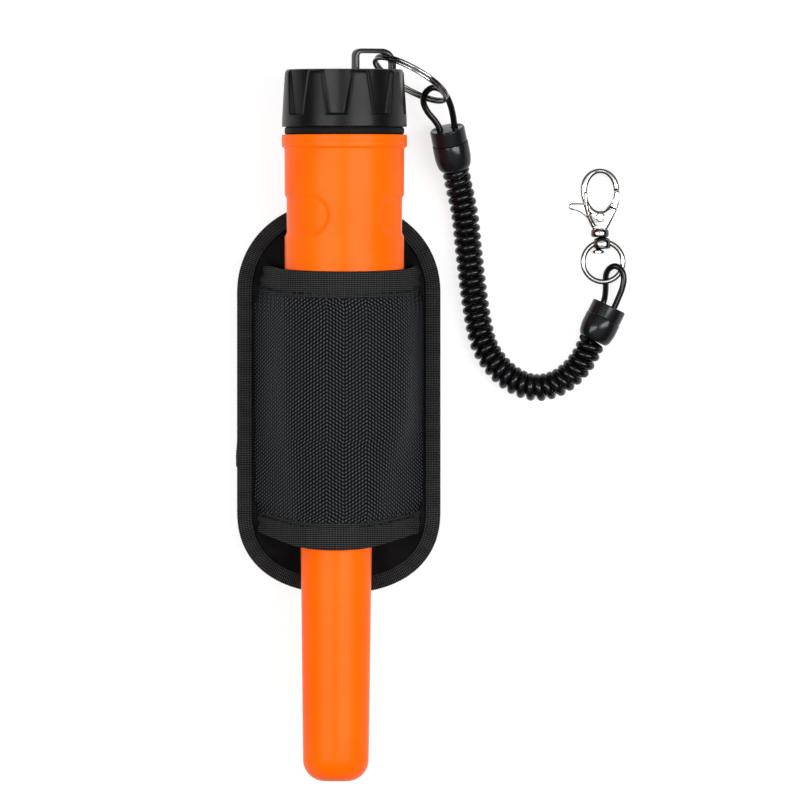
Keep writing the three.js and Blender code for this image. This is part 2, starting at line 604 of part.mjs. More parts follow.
function makeSwivel() {
  add('clasp_ring', claspTorus(CLASP_WIRE_R), CHROME);
  const eye = box(CLASP_X - 2.2, CLASP_X + 2.6, 53.4, 58.0, CLASP_Z - 2.2, CLASP_Z + 2.2);
  const post = rod(1.1, 57.5, 60.9, 12, CLASP_X, CLASP_Z);
  const head = rod(1.7, 60.6, 61.2, 12, CLASP_X, CLASP_Z);
  add('swivel_eye', cut(join(eye, post, head), claspTorus(CLASP_WIRE_R + 2 * GAP)), CHROME);
}

function outline(...pairs) {
  return pairs.map(([x, y]) => new THREE.Vector2(x, y));
}

function hookOutline() {
  const opening = arcPoints(84.65, 72.0, 4.35, -42, -352, 16, 6.2);
  const crown = arcPoints(84.5, 73.2, 6.2, 3, 180, 12, 6.5);
  const neckRight = outline([82.6, HOOK_LOW], [86.4, HOOK_LOW], [87.7, 61.6], [90.0, 66.4]);
  const neckLeft = outline([78.9, 69.0], [80.1, 64.5], [81.3, 61.6]);
  return [...neckRight, ...opening, ...crown, ...neckLeft];
}

function makeHook(low, high) {
  const hook = plate(hookOutline(), low, high);
  const collar = rod(2.7, 58.4, 61.0, 16, CLASP_X, CLASP_Z);
  const bore = rod(1.4, 57, 60.7, 12, CLASP_X, CLASP_Z);
  const headroom = rod(2.0, 60.3, 61.5, 12, CLASP_X, CLASP_Z);
  const slot = box(75, 95, SLOT_LOW, SLOT_HIGH, CLASP_Z - SLOT_HALF, CLASP_Z + SLOT_HALF);
  const pinHole = plate(circle(PIVOT_HOLE_R, 14, PIVOT.x, PIVOT.y), low - 1, high + 1);
  add('clasp_body', cut(join(hook, collar), bore, headroom, slot, pinHole), CHROME);
}

// The lever has a thumb tab to the left and an arm that closes the hook on the right.
function makeGate(low, high) {
  const heel = arcPoints(PIVOT.x, PIVOT.y, 1.5, 220, 320, 5);
  const arm = outline([87.4, 66.2], [89.9, 66.9], [90.2, 72.0], [88.9, 71.8], [88.2, 69.0], [86.0, 66.0]);
  const thumb = arcPoints(75.6, 67.4, 1.2, 90, 270, 6, 1.1);
  const tab = [...outline([83.6, 65.9], [81.0, 67.2], [79.2, 68.35]), ...thumb,
    ...outline([78.2, 65.5], [79.4, 64.6], [80.6, 63.4], [82.4, 63.2])];
  const lever = plate([...heel, ...arm, ...tab], CLASP_Z - 0.9, CLASP_Z + GAP);
  const tipOutline = outline([88.5, 69.2], [90.2, 69.2], [90.2, 72.0], [88.9, 71.8]);
  const tip = plate(tipOutline, CLASP_Z - 1.5, CLASP_Z + 1.5);
  const hub = plate(circle(0.9, 14, PIVOT.x, PIVOT.y), low - 1, high + 1);
  add('clasp_gate', cut(join(lever, tip), hub), CHROME);
}

function makePin(low, high) {
  const shank = plate(circle(0.6, 14, PIVOT.x, PIVOT.y), low - 0.4, high + 0.4);
  const heads = [low - 0.8, high + GAP].map((z) => plate(circle(1.6, 16, PIVOT.x, PIVOT.y), z, z + 0.5));
  add('gate_pin', join(shank, ...heads), CHROME);
  const eye = circle(0.9, 16, PIVOT.x, PIVOT.y);
  add('gate_spring', plate(circle(1.6, 16, PIVOT.x, PIVOT.y), CLASP_Z + 0.5, CLASP_Z + 1.0, [eye]), CHROME);
}

function makeClasp() {
  const [low, high] = [CLASP_Z - CLASP_THICK / 2, CLASP_Z + CLASP_THICK / 2];
  makeHook(low, high);
  makeGate(low, high);
  makePin(low, high);
}

// ---------------------------------------------------------------- assembly
makeHousing();
makePowerButton();
makeBoard();
makeLamp();
makeChassis();
makeBattery();
makeSensor();
makeLeads();
makeCap();
makePanel();
makeBeltLoop();
makePocket();
makeSplitRing();
makeFerrule('upper', UPPER_FERRULE);
makeFerrule('lower', LOWER_FERRULE);
makeCords();
makeSwivel();
makeClasp();

export default pinpointer;
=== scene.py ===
"""Looks of the pinpointer probe, its belt holster and its coiled lanyard.

Shapes are worked out in millimetres in the CAD model's frame and scaled to metres when a mesh is made.
"""
import math

import bmesh
import bpy
from mathutils import Matrix, Vector, noise


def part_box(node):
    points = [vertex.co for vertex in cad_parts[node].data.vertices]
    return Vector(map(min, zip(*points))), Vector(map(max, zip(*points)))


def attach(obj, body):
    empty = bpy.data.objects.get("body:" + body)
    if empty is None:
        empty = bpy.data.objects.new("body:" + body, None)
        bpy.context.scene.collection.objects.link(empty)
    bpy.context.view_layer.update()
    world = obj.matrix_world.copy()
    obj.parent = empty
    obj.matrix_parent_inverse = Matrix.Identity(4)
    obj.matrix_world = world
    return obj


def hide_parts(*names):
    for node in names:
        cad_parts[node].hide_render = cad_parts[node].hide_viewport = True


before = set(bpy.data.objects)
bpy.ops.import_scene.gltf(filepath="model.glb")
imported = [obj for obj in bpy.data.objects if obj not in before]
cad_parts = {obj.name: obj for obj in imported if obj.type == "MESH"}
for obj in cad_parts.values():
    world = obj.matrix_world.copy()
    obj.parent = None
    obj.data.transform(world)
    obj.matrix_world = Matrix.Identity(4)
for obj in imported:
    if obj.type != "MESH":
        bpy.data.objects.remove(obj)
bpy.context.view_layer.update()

MM = 0.001


def box_mm(node):
    low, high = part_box(node)
    return Vector(low) / MM, Vector(high) / MM


# ---- places taken from the frame
cap_low, cap_high = box_mm("battery_cap")
AXIS_X = (cap_low.x + cap_high.x) / 2
AXIS_Z = (cap_low.z + cap_high.z) / 2
CAP_BASE, CAP_TOP = cap_low.y, cap_high.y
CAP_R_BASE = (cap_high.x - cap_low.x) / 2
CAP_R_TOP = CAP_R_BASE - 0.7
housing_low, housing_high = box_mm("probe_housing")
TIP_Y, NECK_TOP = housing_low.y, housing_high.y
COLLAR_R = (housing_high.x - housing_low.x) / 2
GASKET_BASE = box_mm("cap_gasket")[0].y
COLLAR_TOP = GASKET_BASE - 0.3
COLLAR_BASE = COLLAR_TOP - 4.0
coil_low, coil_high = box_mm("search_coil")
TIP_X = (coil_low.x + coil_high.x) / 2
panel_low, panel_high = box_mm("back_panel")
binding_low, binding_high = box_mm("edge_binding")
loop_low, loop_high = box_mm("belt_loop")

HANDLE_R_TOP, HANDLE_R_LOW = 19.35, 19.05
SHOULDER_TOP, SHOULDER_LOW = 8.0, -8.0
BARREL_R_TOP, BARREL_R_TIP = 11.9, 10.6
NECK_R, BORE_R = 17.3, 16.2
THREAD_TURNS, THREAD_PITCH = 4, 3.0
BUTTON_Y, BUTTON_HOLE_R = 24.0, 4.6
LENS_X, LENS_HOLE_R = 14.6, 3.3
RECESS_Y, RECESS_HEIGHT, RECESS_DEPTH = 64.3, 13.7, 0.65
RECESSES = [(0.0, 55.0), (180.0, 76.5)]


# ---- small mathematics
def smooth(t):
    t = min(1.0, max(0.0, t))
    return t * t * (3 - 2 * t)


def mix(a, b, t):
    return a + (b - a) * t


def along(y, table):
    for (y0, v0), (y1, v1) in zip(table, table[1:]):
        if y0 >= y >= y1:
            return mix(v0, v1, (y0 - y) / (y0 - y1))
    return table[0][1] if y > table[0][0] else table[-1][1]


def spread(low, high, count):
    return [mix(low, high, i / (count - 1)) for i in range(count)]


def arc(x, y, rx, ry, start, stop, count):
    turns = [math.radians(a) for a in spread(start, stop, count)]
    return [(x + rx * math.cos(a), y + ry * math.sin(a)) for a in turns]


def rounded_rectangle(width, height, radius, corner=4):
    points = []
    for sx, sy, start in ((1, 1, 0), (-1, 1, 90), (-1, -1, 180), (1, -1, 270)):
        cx, cy = sx * (width / 2 - radius), sy * (height / 2 - radius)
        points += arc(cx, cy, radius, radius, start, start + 90, corner)
    return points


KNOT_STEPS = 24


def between(a, b, start, stop, t):
    """The point that is at a when t is start and at b when it is stop."""
    return a * ((stop - t) / (stop - start)) + b * ((t - start) / (stop - start))


def centripetal(points, samples):
    """Points on the centripetal Catmull-Rom curve through the given ones, evenly spaced."""
    pts = [Vector(p) for p in points]
    pts = [2 * pts[0] - pts[1]] + pts + [2 * pts[-1] - pts[-2]]
    dense = []
    for p0, p1, p2, p3 in zip(pts, pts[1:], pts[2:], pts[3:]):
        t1 = (p1 - p0).length ** 0.5
        t2 = t1 + (p2 - p1).length ** 0.5
        t3 = t2 + (p3 - p2).length ** 0.5
        for i in range(KNOT_STEPS):
            t = mix(t1, t2, i / KNOT_STEPS)
            a1 = between(p0, p1, 0.0, t1, t)
            a2 = between(p1, p2, t1, t2, t)
            a3 = between(p2, p3, t2, t3, t)
            dense.append(between(between(a1, a2, 0.0, t2, t), between(a2, a3, t1, t3, t), t1, t2, t))
    dense.append(pts[-2])
    return even(dense, samples)


def running(points):
    """The length along the points from the first to each."""
    lengths = [0.0]
    for a, b in zip(points, points[1:]):
        lengths.append(lengths[-1] + (b - a).length)
    return lengths


def even(points, samples):
    lengths = running(points)
    out, k = [], 0
    for target in spread(0.0, lengths[-1], samples):
        while k + 2 < len(points) and lengths[k + 1] < target:
            k += 1
        span = max(1e-9, lengths[k + 1] - lengths[k])
        out.append(points[k].lerp(points[k + 1], min(1.0, (target - lengths[k]) / span)))
    return out


# ---- mesh builders
CREASE = math.radians(35.0)


def add_object(name, data):
    obj = bpy.data.objects.new(name, data)
    bpy.context.scene.collection.objects.link(obj)
    return obj


def make_object(name, verts, faces, uvs=None):
    mesh = bpy.data.meshes.new(name)
    mesh.from_pydata([Vector(v) * MM for v in verts], [], faces)
    if uvs:
        layer = mesh.uv_layers.new(name="weave")
        for face, corners in zip(mesh.polygons, uvs):
            for loop, uv in zip(face.loop_indices, corners):
                layer.data[loop].uv = uv
    return smooth_object(name, mesh)


def smooth_object(name, mesh):
    obj = add_object(name, mesh)
    tidy_normals(obj)
    return obj


def rework(mesh, work):
    bm = bmesh.new()
    bm.from_mesh(mesh)
    work(bm)
    bm.to_mesh(mesh)
    bm.free()


def tidy_normals(obj):
    rework(obj.data, lambda bm: bmesh.ops.recalc_face_normals(bm, faces=bm.faces))
    obj.data.polygons.foreach_set("use_smooth", [True] * len(obj.data.polygons))
    obj.data.set_sharp_from_angle(angle=CREASE)


def skin(name, rings, loop=False):
    """Quads over rings of equal size, with the UVs in millimetres along the rings and around them.

    The last ring meets the first in a loop; otherwise both ends are closed by a face.
    """
    count = len(rings[0])
    verts = [p for ring in rings for p in ring]
    run = running([Vector(ring[0]) for ring in rings + rings[:1]])
    across = running([Vector(p) for p in rings[0] + rings[0][:1]])
    faces, uvs = [], []
    for r in range(len(rings) if loop else len(rings) - 1):
        n = (r + 1) % len(rings)
        for i in range(count):
            j = (i + 1) % count
            faces.append((r * count + i, r * count + j, n * count + j, n * count + i))
            left, right, below, above = across[i], across[i + 1], run[r], run[r + 1]
            uvs.append([(left, below), (right, below), (right, above), (left, above)])
    if not loop:
        last = (len(rings) - 1) * count
        faces += [tuple(range(count)), tuple(range(last, last + count))]
        uvs += [[(0.0, 0.0)] * count, [(0.0, 0.0)] * count]
    return make_object(name, verts, faces, uvs)


def turned(name, profile, segments, x=AXIS_X, z=AXIS_Z):
    """A profile of (radius, y) points turned about a line parallel to Y."""
    rings = []
    for r, y in profile:
        rings.append([(x + r * c, y, z + r * s) for c, s in circle_points(segments)])
    closed = profile[0] == profile[-1]
    return skin(name, rings[:-1] if closed else rings, loop=closed)


def circle_points(count):
    return [(math.cos(2 * math.pi * i / count), math.sin(2 * math.pi * i / count)) for i in range(count)]


def heading(path, i):
    """The direction of a path at its point i."""
    return (path[min(i + 1, len(path) - 1)] - path[max(i - 1, 0)]).normalized()


def sweep(name, path, section):
    """A section of (side, up) points carried along a path, kept upright."""
    rings = []
    for i, point in enumerate(path):
        ahead = heading(path, i)
        side = ahead.cross(Vector((0, 0, 1))).normalized()
        top = side.cross(ahead)
        rings.append([point + side * a + top * b for a, b in section])
    return skin(name, rings)


def evaluated_mesh(obj):
    """The object's mesh with its modifiers applied, or the surface of its curve."""
    bpy.context.view_layer.update()
    return bpy.data.meshes.new_from_object(obj.evaluated_get(bpy.context.evaluated_depsgraph_get()))


def bevelled_curve(name, points, closed, settings):
    """The mesh of a curve with straight pieces between the points, which are in metres."""
    curve = bpy.data.curves.new(name, "CURVE")
    for key, value in settings.items():
        setattr(curve, key, value)
    spline = curve.splines.new("POLY")
    spline.points.add(len(points) - 1)
    for point, place in zip(spline.points, points):
        point.co = (*place, 1)
    spline.use_cyclic_u = closed
    draft = add_object(name + "_draft", curve)
    mesh = evaluated_mesh(draft)
    bpy.data.objects.remove(draft)
    return mesh


def plate(name, outline, low, high, bevel):
    """A flat outline thickened from low to high, with rounded edges that stay inside the outline."""
    settings = {"dimensions": "2D", "fill_mode": "BOTH", "extrude": ((high - low) / 2 - bevel) * MM,
                "bevel_depth": bevel * MM, "bevel_resolution": 4, "offset": -bevel * MM}
    mesh = bevelled_curve(name, [(x * MM, y * MM, 0) for x, y in outline], True, settings)
    mesh.transform(Matrix.Translation((0, 0, (low + high) / 2 * MM)))
    rework(mesh, lambda bm: bmesh.ops.remove_doubles(bm, verts=bm.verts, dist=1e-6))
    return smooth_object(name, mesh)


def cord_tube(name, points, radius):
    """A round tube along the points, as a mesh with closed ends."""
    settings = {"dimensions": "3D", "bevel_depth": radius * MM, "bevel_resolution": 5, "use_fill_caps": True}
    return smooth_object(name, bevelled_curve(name, [place * MM for place in points], False, settings))


def bake(obj):
    """Applies every modifier on the object."""
    mesh = evaluated_mesh(obj)
    obj.modifiers.clear()
    obj.data = mesh
    return obj


def weigh_normals(obj):
    """Large flat faces keep their own direction and the bevels between them carry the bend."""
    obj.modifiers.new("weighted", "WEIGHTED_NORMAL").keep_sharp = True
    return bake(obj)


def boolean(obj, operation, *tools):
    for tool in tools:
        modifier = obj.modifiers.new("boolean", "BOOLEAN")
        modifier.operation = operation
        modifier.solver = "EXACT"
        modifier.object = tool
        bake(obj)
        bpy.data.objects.remove(tool)
    tidy_normals(obj)
    return weigh_normals(obj)


def merged(name, objects):
    """One object holding the meshes of several."""
    bm = bmesh.new()
    for obj in objects:
        obj.data.transform(obj.matrix_world)
        bm.from_mesh(obj.data)
        bpy.data.objects.remove(obj)
    mesh = bpy.data.meshes.new(name)
    bm.to_mesh(mesh)
    bm.free()
    return smooth_object(name, mesh)


# ---- camera
VIEW_CENTRE = Vector((19.8, 4.8, 20.0))
VIEW_WIDTH = 258.4
LENS, SENSOR = 1200.0, 36.0


def make_camera():
    data = bpy.data.cameras.new("camera")
    data.lens = LENS
    data.sensor_width = SENSOR
    data.clip_end = 20.0
    camera = add_object("camera", data)
    camera.location = (VIEW_CENTRE + Vector((0, 0, VIEW_WIDTH * LENS / SENSOR))) * MM
    bpy.context.scene.camera = camera


# ---- cords
CORD_R = 1.05
LOWER_CORD_R = 1.0
COIL_CORD_R = 1.3
COIL_R = 4.5
COIL_TURNS = 38
POINTS_PER_TURN = 24
UPPER_LOOP = [(32.78, 91.5, 10.92), (32.45, 92.9, 11.3), (31.0, 95.2, 12.0), (28.7, 98.0, 12.9),
              (27.4, 101.0, 13.9), (28.0, 104.0, 15.5), (30.2, 105.7, 16.6), (32.8, 105.2, 16.9),
              (34.7, 103.2, 16.4), (36.0, 100.4, 15.2), (36.8, 97.4, 13.4), (37.25, 94.6, 11.8),
              (37.5, 92.4, 10.92)]
COIL_ROUTE = [(37.8, 79.07, 7.28), (38.3, 76.6, 6.58), (38.9, 73.6, 5.75), (39.8, 69.8, 4.95),
              (40.8, 64.6, 4.6), (41.4, 59.4, 4.6), (41.9, 54.2, 4.6), (42.5, 49, 4.6), (43.1, 43.8, 4.6),
              (43.8, 38.4, 4.6), (44.6, 33.2, 4.6), (45.5, 28.2, 4.6), (46.9, 22.9, 4.6), (49.7, 17.8, 4.6),
              (54.1, 13, 4.6), (59.2, 9.9, 4.6), (64.4, 8.8, 4.6), (70.3, 10.1, 4.8), (75.3, 13.5, 5.3),
              (79.0, 17.9, 5.9), (80.8, 21.3, 6.1), (81.99, 23.76, 6.1)]
LOWER_LOOP = [(85.3, 35.6, 6.1), (85.85, 37.1, 5.9), (86.3, 39.8, 4.0), (86.4, 43.2, 1.35),
              (86.5, 45.4, 2.4), (87.6, 47.4, 4.5), (89.5, 48.1, 6.0), (91.3, 47.0, 6.3), (92.2, 44.4, 6.2),
              (91.7, 41.0, 6.1), (90.5, 37.9, 6.1), (89.6, 35.8, 6.1), (88.75, 34.0, 6.1)]


def coil_points():
    samples = COIL_TURNS * POINTS_PER_TURN + 1
    centre = centripetal(COIL_ROUTE, samples)
    side = Vector((1, 0, 0))
    points = []
    for i, point in enumerate(centre):
        ahead = heading(centre, i)
        side = (side - ahead * side.dot(ahead)).normalized()
        top = ahead.cross(side)
        turn = 2 * math.pi * i / POINTS_PER_TURN
        radius = COIL_R - COIL_CORD_R
        points.append(point + side * radius * math.cos(turn) + top * radius * math.sin(turn))
    return points


def make_cords(material, ferrules, clasp_pieces):
    upper, lower = centripetal(UPPER_LOOP, 90), centripetal(LOWER_LOOP, 90)
    cords = [("coil_of_cord", "coiled_cord", coil_points(), COIL_CORD_R, "coiled", ferrules),
             ("loop_on_split_ring", "upper_cord_loop", upper, CORD_R, "loose", ferrules[:2]),
             ("loop_on_clasp_ring", "lower_cord_loop", lower, LOWER_CORD_R, "loose", clasp_pieces)]
    for name, node, points, radius, lay, pieces in cords:
        obj = finish_piece(cord_tube(name, points, radius), "cord", node, material)


# ---- shader nodes
def feed(tree, socket, value):
    if isinstance(value, bpy.types.NodeSocket):
        tree.links.new(value, socket)
    else:
        socket.default_value = value


def add_node(tree, kind, feeds, output=0, **settings):
    """Adds a node, feeds its inputs and returns one of its outputs, both told by number or name."""
    made = tree.nodes.new(kind)
    for key, value in settings.items():
        setattr(made, key, value)
    for key, value in feeds.items():
        feed(tree, made.inputs[key], value)
    return made.outputs[output]


class Shader:
    """A Principled material, with short calls for the nodes that feed it."""

    def __init__(self, name, color, roughness, **fixed):
        self.material = bpy.data.materials.new(name)
        self.material.use_nodes = True
        self.tree = self.material.node_tree
        self.sockets = self.tree.nodes["Principled BSDF"].inputs
        self.sockets["Base Color"].default_value = (*color, 1)
        self.sockets["Roughness"].default_value = roughness
        for key, value in fixed.items():
            self.sockets[key.replace("_", " ")].default_value = value

    def node(self, kind, feeds, output=0, **settings):
        return add_node(self.tree, kind, feeds, output, **settings)

    def math(self, operation, *values):
        return self.node("ShaderNodeMath", dict(enumerate(values)), operation=operation)

    def place(self, kind="Object"):
        return self.node("ShaderNodeTexCoord", {}, kind)

    def part(self, vector, number):
        """The X, Y or Z of a vector, as 0, 1 or 2."""
        return self.node("ShaderNodeSeparateXYZ", {0: vector}, number)

    def weave(self):
        uv = self.node("ShaderNodeUVMap", {}, uv_map="weave")
        return self.part(uv, 0), self.part(uv, 1)

    def noise(self, scale, detail=3.0):
        return self.node("ShaderNodeTexNoise", {"Scale": scale, "Detail": detail, "Vector": self.place()})

    def wave(self, value, pitch):
        """A sine between 0 and 1 that repeats every pitch."""
        turn = self.math("MULTIPLY", value, 2 * math.pi / pitch)
        return self.math("MULTIPLY_ADD", self.math("SINE", turn), 0.5, 0.5)

    def ramp(self, value, low, high, start=0.0, stop=1.0):
        """A value stretched from start..stop to low..high."""
        return self.node("ShaderNodeMapRange", {0: value, 1: start, 2: stop, 3: low, 4: high})

    def colors(self, value, low, high):
        feeds = {0: value, 6: (*low, 1), 7: (*high, 1)}
        feed(self.tree, self.sockets["Base Color"], self.node("ShaderNodeMix", feeds, 2, data_type="RGBA"))

    def roughness(self, value, low, high):
        feed(self.tree, self.sockets["Roughness"], self.ramp(value, low, high))

    def relief(self, *layers):
        """Lays bumps over each other, each a height, a depth in mm and a strength."""
        feeds = {}
        for height, depth, strength in layers:
            feeds |= {"Height": height, "Distance": depth * MM, "Strength": strength}
            feeds["Normal"] = self.node("ShaderNodeBump", feeds)
        feed(self.tree, self.sockets["Normal"], feeds["Normal"])
        return self.material


def moulded(name, dark, light, rough, grain, depth, **fixed):
    """Moulded plastic or rubber: cloudy colour, fine grain and slow unevenness."""
    shader = Shader(name, light, rough[0], **fixed)
    shader.colors(shader.ramp(shader.noise(60), 0, 1, 0.3, 0.7), dark, light)
    shader.roughness(shader.noise(300), *rough)
    return shader.relief((shader.noise(120), 0.05, 0.6), (shader.noise(grain, 2.0), depth, 0.5))


def plated(name, color, rough, painted_flank_shade=0.82):
    """Plated metal with small casting waves and scratches; its flanks are painted darker than its faces, a
    painted shade that follows which way the surface faces.
    """
    shader = Shader(name, color, rough[0], Metallic=1.0)
    # Painted shade: faces turned up or down keep the full colour, and flanks turned away from them are
    # painted darker.
    facing = shader.math("ABSOLUTE", shader.part(shader.place("Normal"), 2))
    painted_facing_shade = shader.ramp(facing, 0, 1, 0.60, 0.985)
    cloud = shader.ramp(shader.noise(500), 0.86, 1.0, 0.35, 0.7)
    shader.colors(shader.math("MULTIPLY", painted_facing_shade, cloud), tuple(c * painted_flank_shade for c in color), color)
    shader.roughness(shader.noise(900), *rough)
    return shader.relief((shader.noise(260), 0.03, 0.4), (shader.noise(4200), 0.004, 0.3))


CHEVRONS = [(-4.1, -0.62), (1.7, 0.62), (9.0, -0.62)]
RIB_PITCH, PEBBLE_PITCH = 1.22, 1.07


def ballistic(name, dark, light):
    """Coarse nylon whose ribs run in uneven chevrons, as in a herringbone."""
    shader = Shader(name, light, 0.6, Specular_IOR_Level=0.03)
    across, down = shader.weave()
    slant = None
    for place, slope in CHEVRONS:
        distance = shader.math("ABSOLUTE", shader.math("SUBTRACT", across, place))
        part = shader.math("MULTIPLY", distance, slope)
        slant = part if slant is None else shader.math("ADD", slant, part)
    wander = shader.ramp(shader.noise(90, 2.0), -0.5, 0.5)
    rib = shader.math("ADD", shader.math("SUBTRACT", down, slant), wander)
    ridge = shader.wave(rib, RIB_PITCH)
    sway = shader.math("MULTIPLY", wander, 0.4)
    pebble = shader.wave(shader.math("ADD", across, sway), PEBBLE_PITCH)
    height = shader.math("MULTIPLY", ridge, shader.math("MULTIPLY_ADD", pebble, 0.85, 0.15))
    fibre = shader.noise(5200, 2.0)
    # Painted highlight and shade: the colour follows the weave's height, dark in the gaps between the ribs
    # and light on their tops, in place of their shade and glints.
    painted_thread_highlight = shader.math("POWER", height, 1.5)
    shader.colors(shader.math("MULTIPLY", painted_thread_highlight, shader.ramp(fibre, 0.75, 1.2)), dark, light)
    shader.roughness(fibre, 0.45, 0.75)
    return shader.relief((height, 0.30, 1.0), (fibre, 0.02, 0.4))


def taped(name, dark, light, rib, cross, depth=0.1, tilt=0.0):
    """Grosgrain, webbing or plain weave: ribs across the run and fine cross threads."""
    shader = Shader(name, light, 0.7, Specular_IOR_Level=0.03)
    across, run = shader.weave()
    if tilt:
        run = shader.math("ADD", run, shader.math("MULTIPLY", across, tilt))
    wander = shader.ramp(shader.noise(150, 2.0), -0.25, 0.25)
    ribs = shader.wave(shader.math("ADD", run, wander), rib)
    threads = shader.wave(shader.math("ADD", across, wander), cross)
    height = shader.math("MULTIPLY", ribs, shader.math("MULTIPLY_ADD", threads, 0.6, 0.4))
    fibre = shader.noise(6000, 2.0)
    # Painted shade and highlight: the colour follows the height of the ribs and threads, dark between them
    # and light on their tops.
    shader.colors(shader.math("MULTIPLY", height, shader.ramp(fibre, 0.7, 1.25)), dark, light)
    shader.roughness(fibre, 0.55, 0.85)
    return shader.relief((height, depth, 1.0), (fibre, 0.02, 0.4))


# material name, dark and light colour, lowest and highest roughness, scale of the grain and its depth in mm
MOULDED = {
    "orange": ("orange_plastic", (0.93, 0.111, 0.001), (0.96, 0.129, 0.002), (0.27, 0.33), 2600, 0.006),
    "cap": ("cap_plastic", (0.003, 0.0032, 0.0036), (0.005, 0.0052, 0.006), (0.26, 0.34), 3000, 0.012),
    "gloss": ("gloss_black_plastic", (0.005, 0.0055, 0.0066), (0.008, 0.0088, 0.0105), (0.14, 0.2), 2000,
              0.003),
    "cord": ("cord_polyurethane", (0.0025, 0.0025, 0.003), (0.004, 0.004, 0.005), (0.14, 0.22), 1500, 0.006),
    "rubber": ("black_rubber", (0.004, 0.004, 0.004), (0.006, 0.006, 0.006), (0.5, 0.65), 2400, 0.02),
    "board": ("board_laminate", (0.012, 0.13, 0.05), (0.02, 0.17, 0.07), (0.3, 0.45), 1500, 0.01),
    "component": ("component_black", (0.012, 0.012, 0.013), (0.02, 0.02, 0.021), (0.45, 0.6), 2500, 0.01),
    "grey": ("grey_plastic", (0.24, 0.25, 0.26), (0.3, 0.31, 0.32), (0.4, 0.55), 2500, 0.01),
    "jacket": ("battery_jacket", (0.16, 0.17, 0.19), (0.22, 0.23, 0.25), (0.25, 0.35), 1500, 0.01),
    "ferrite": ("ferrite", (0.03, 0.03, 0.033), (0.05, 0.05, 0.054), (0.5, 0.7), 3500, 0.03),
    "red": ("red_insulation", (0.4, 0.015, 0.012), (0.5, 0.02, 0.015), (0.35, 0.5), 1500, 0.01),
    "foam": ("closed_cell_foam", (0.12, 0.12, 0.125), (0.18, 0.18, 0.185), (0.8, 0.95), 1800, 0.15),
    "clear": ("clear_plastic", (0.85, 0.9, 0.94), (0.92, 0.96, 1.0), (0.03, 0.08), 1500, 0.002),
}
SPECULAR = {"orange": 0.05, "cap": 0.12, "gloss": 0.2, "cord": 0.22, "rubber": 0.08}
# material name, dark colour of the painted shade between the ribs and light colour of their painted
# highlight, pitch of the ribs and of the cross threads, depth of the ribs, tilt
TAPED = {
    "tape": ("binding_tape", (0.0006, 0.0006, 0.0007), (0.056, 0.057, 0.059), 0.62, 0.9),
    "panel": ("panel_nylon", (0.0006, 0.0006, 0.0006), (0.014, 0.014, 0.014), 0.55, 0.55),
    "webbing": ("belt_webbing", (0.002, 0.002, 0.0025), (0.030, 0.031, 0.033), 1.5, 1.1, 0.25, 0.8),
    "thread": ("sewing_thread", (0.004, 0.004, 0.0045), (0.022, 0.023, 0.025), 0.4, 0.3, 0.05, 1.0),
}


def make_materials():
    fixed = {key: {"Specular_IOR_Level": level} for key, level in SPECULAR.items()}
    fixed["clear"] = {"Transmission_Weight": 0.85, "IOR": 1.5}
    look = {key: moulded(*row, **fixed.get(key, {})) for key, row in MOULDED.items()}
    look.update({key: taped(*row) for key, row in TAPED.items()})
    # The nickel's flanks are painted down to 0.12 of its colour, a strong painted shade.
    look["nickel"] = plated("nickel_plate", (0.50, 0.485, 0.465), (0.08, 0.17), 0.12)
    look["steel"] = plated("drawn_steel", (0.62, 0.62, 0.63), (0.25, 0.4))
    look["copper"] = plated("enamelled_copper", (0.62, 0.27, 0.12), (0.2, 0.35))
    # The ballistic nylon's dark colour is the painted shade in its gaps and its light colour the painted
    # highlight on its ribs.
    look["ballistic"] = ballistic("ballistic_nylon", (0.0006, 0.0008, 0.001), (0.085, 0.095, 0.110))
    return look


def dress(obj, material):
    obj.data.materials.clear()
    obj.data.materials.append(material)


def finish_piece(obj, body, node, material):
    dress(obj, material)
    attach(obj, body)
    if node:
        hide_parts(node)
    return obj


# ---- probe
def recess_depth(angle, y):
    depth = 0.0
    for middle, half_angle in RECESSES:
        turn = (angle - middle + 180) % 360 - 180
        across = abs(math.radians(turn)) * HANDLE_R_LOW
        end = RECESS_HEIGHT / 2
        over = max(0.0, across - (math.radians(half_angle) * HANDLE_R_LOW - end))
        inside = end - math.hypot(over, y - RECESS_Y)
        depth = max(depth, RECESS_DEPTH * smooth(inside / 1.7 + 0.1))
    return depth


def housing_centre(y):
    return along(y, [(SHOULDER_TOP, AXIS_X), (SHOULDER_LOW, TIP_X + 0.2), (TIP_Y, TIP_X)])


def housing_radius(y):
    return along(y, [(COLLAR_BASE - 0.9, HANDLE_R_TOP), (SHOULDER_TOP + 1.2, HANDLE_R_LOW),
                     (SHOULDER_TOP - 0.4, HANDLE_R_LOW - 0.35), (SHOULDER_LOW + 1.0, BARREL_R_TOP + 0.55),
                     (SHOULDER_LOW - 1.6, BARREL_R_TOP - 0.05), (TIP_Y + 6, BARREL_R_TIP)])


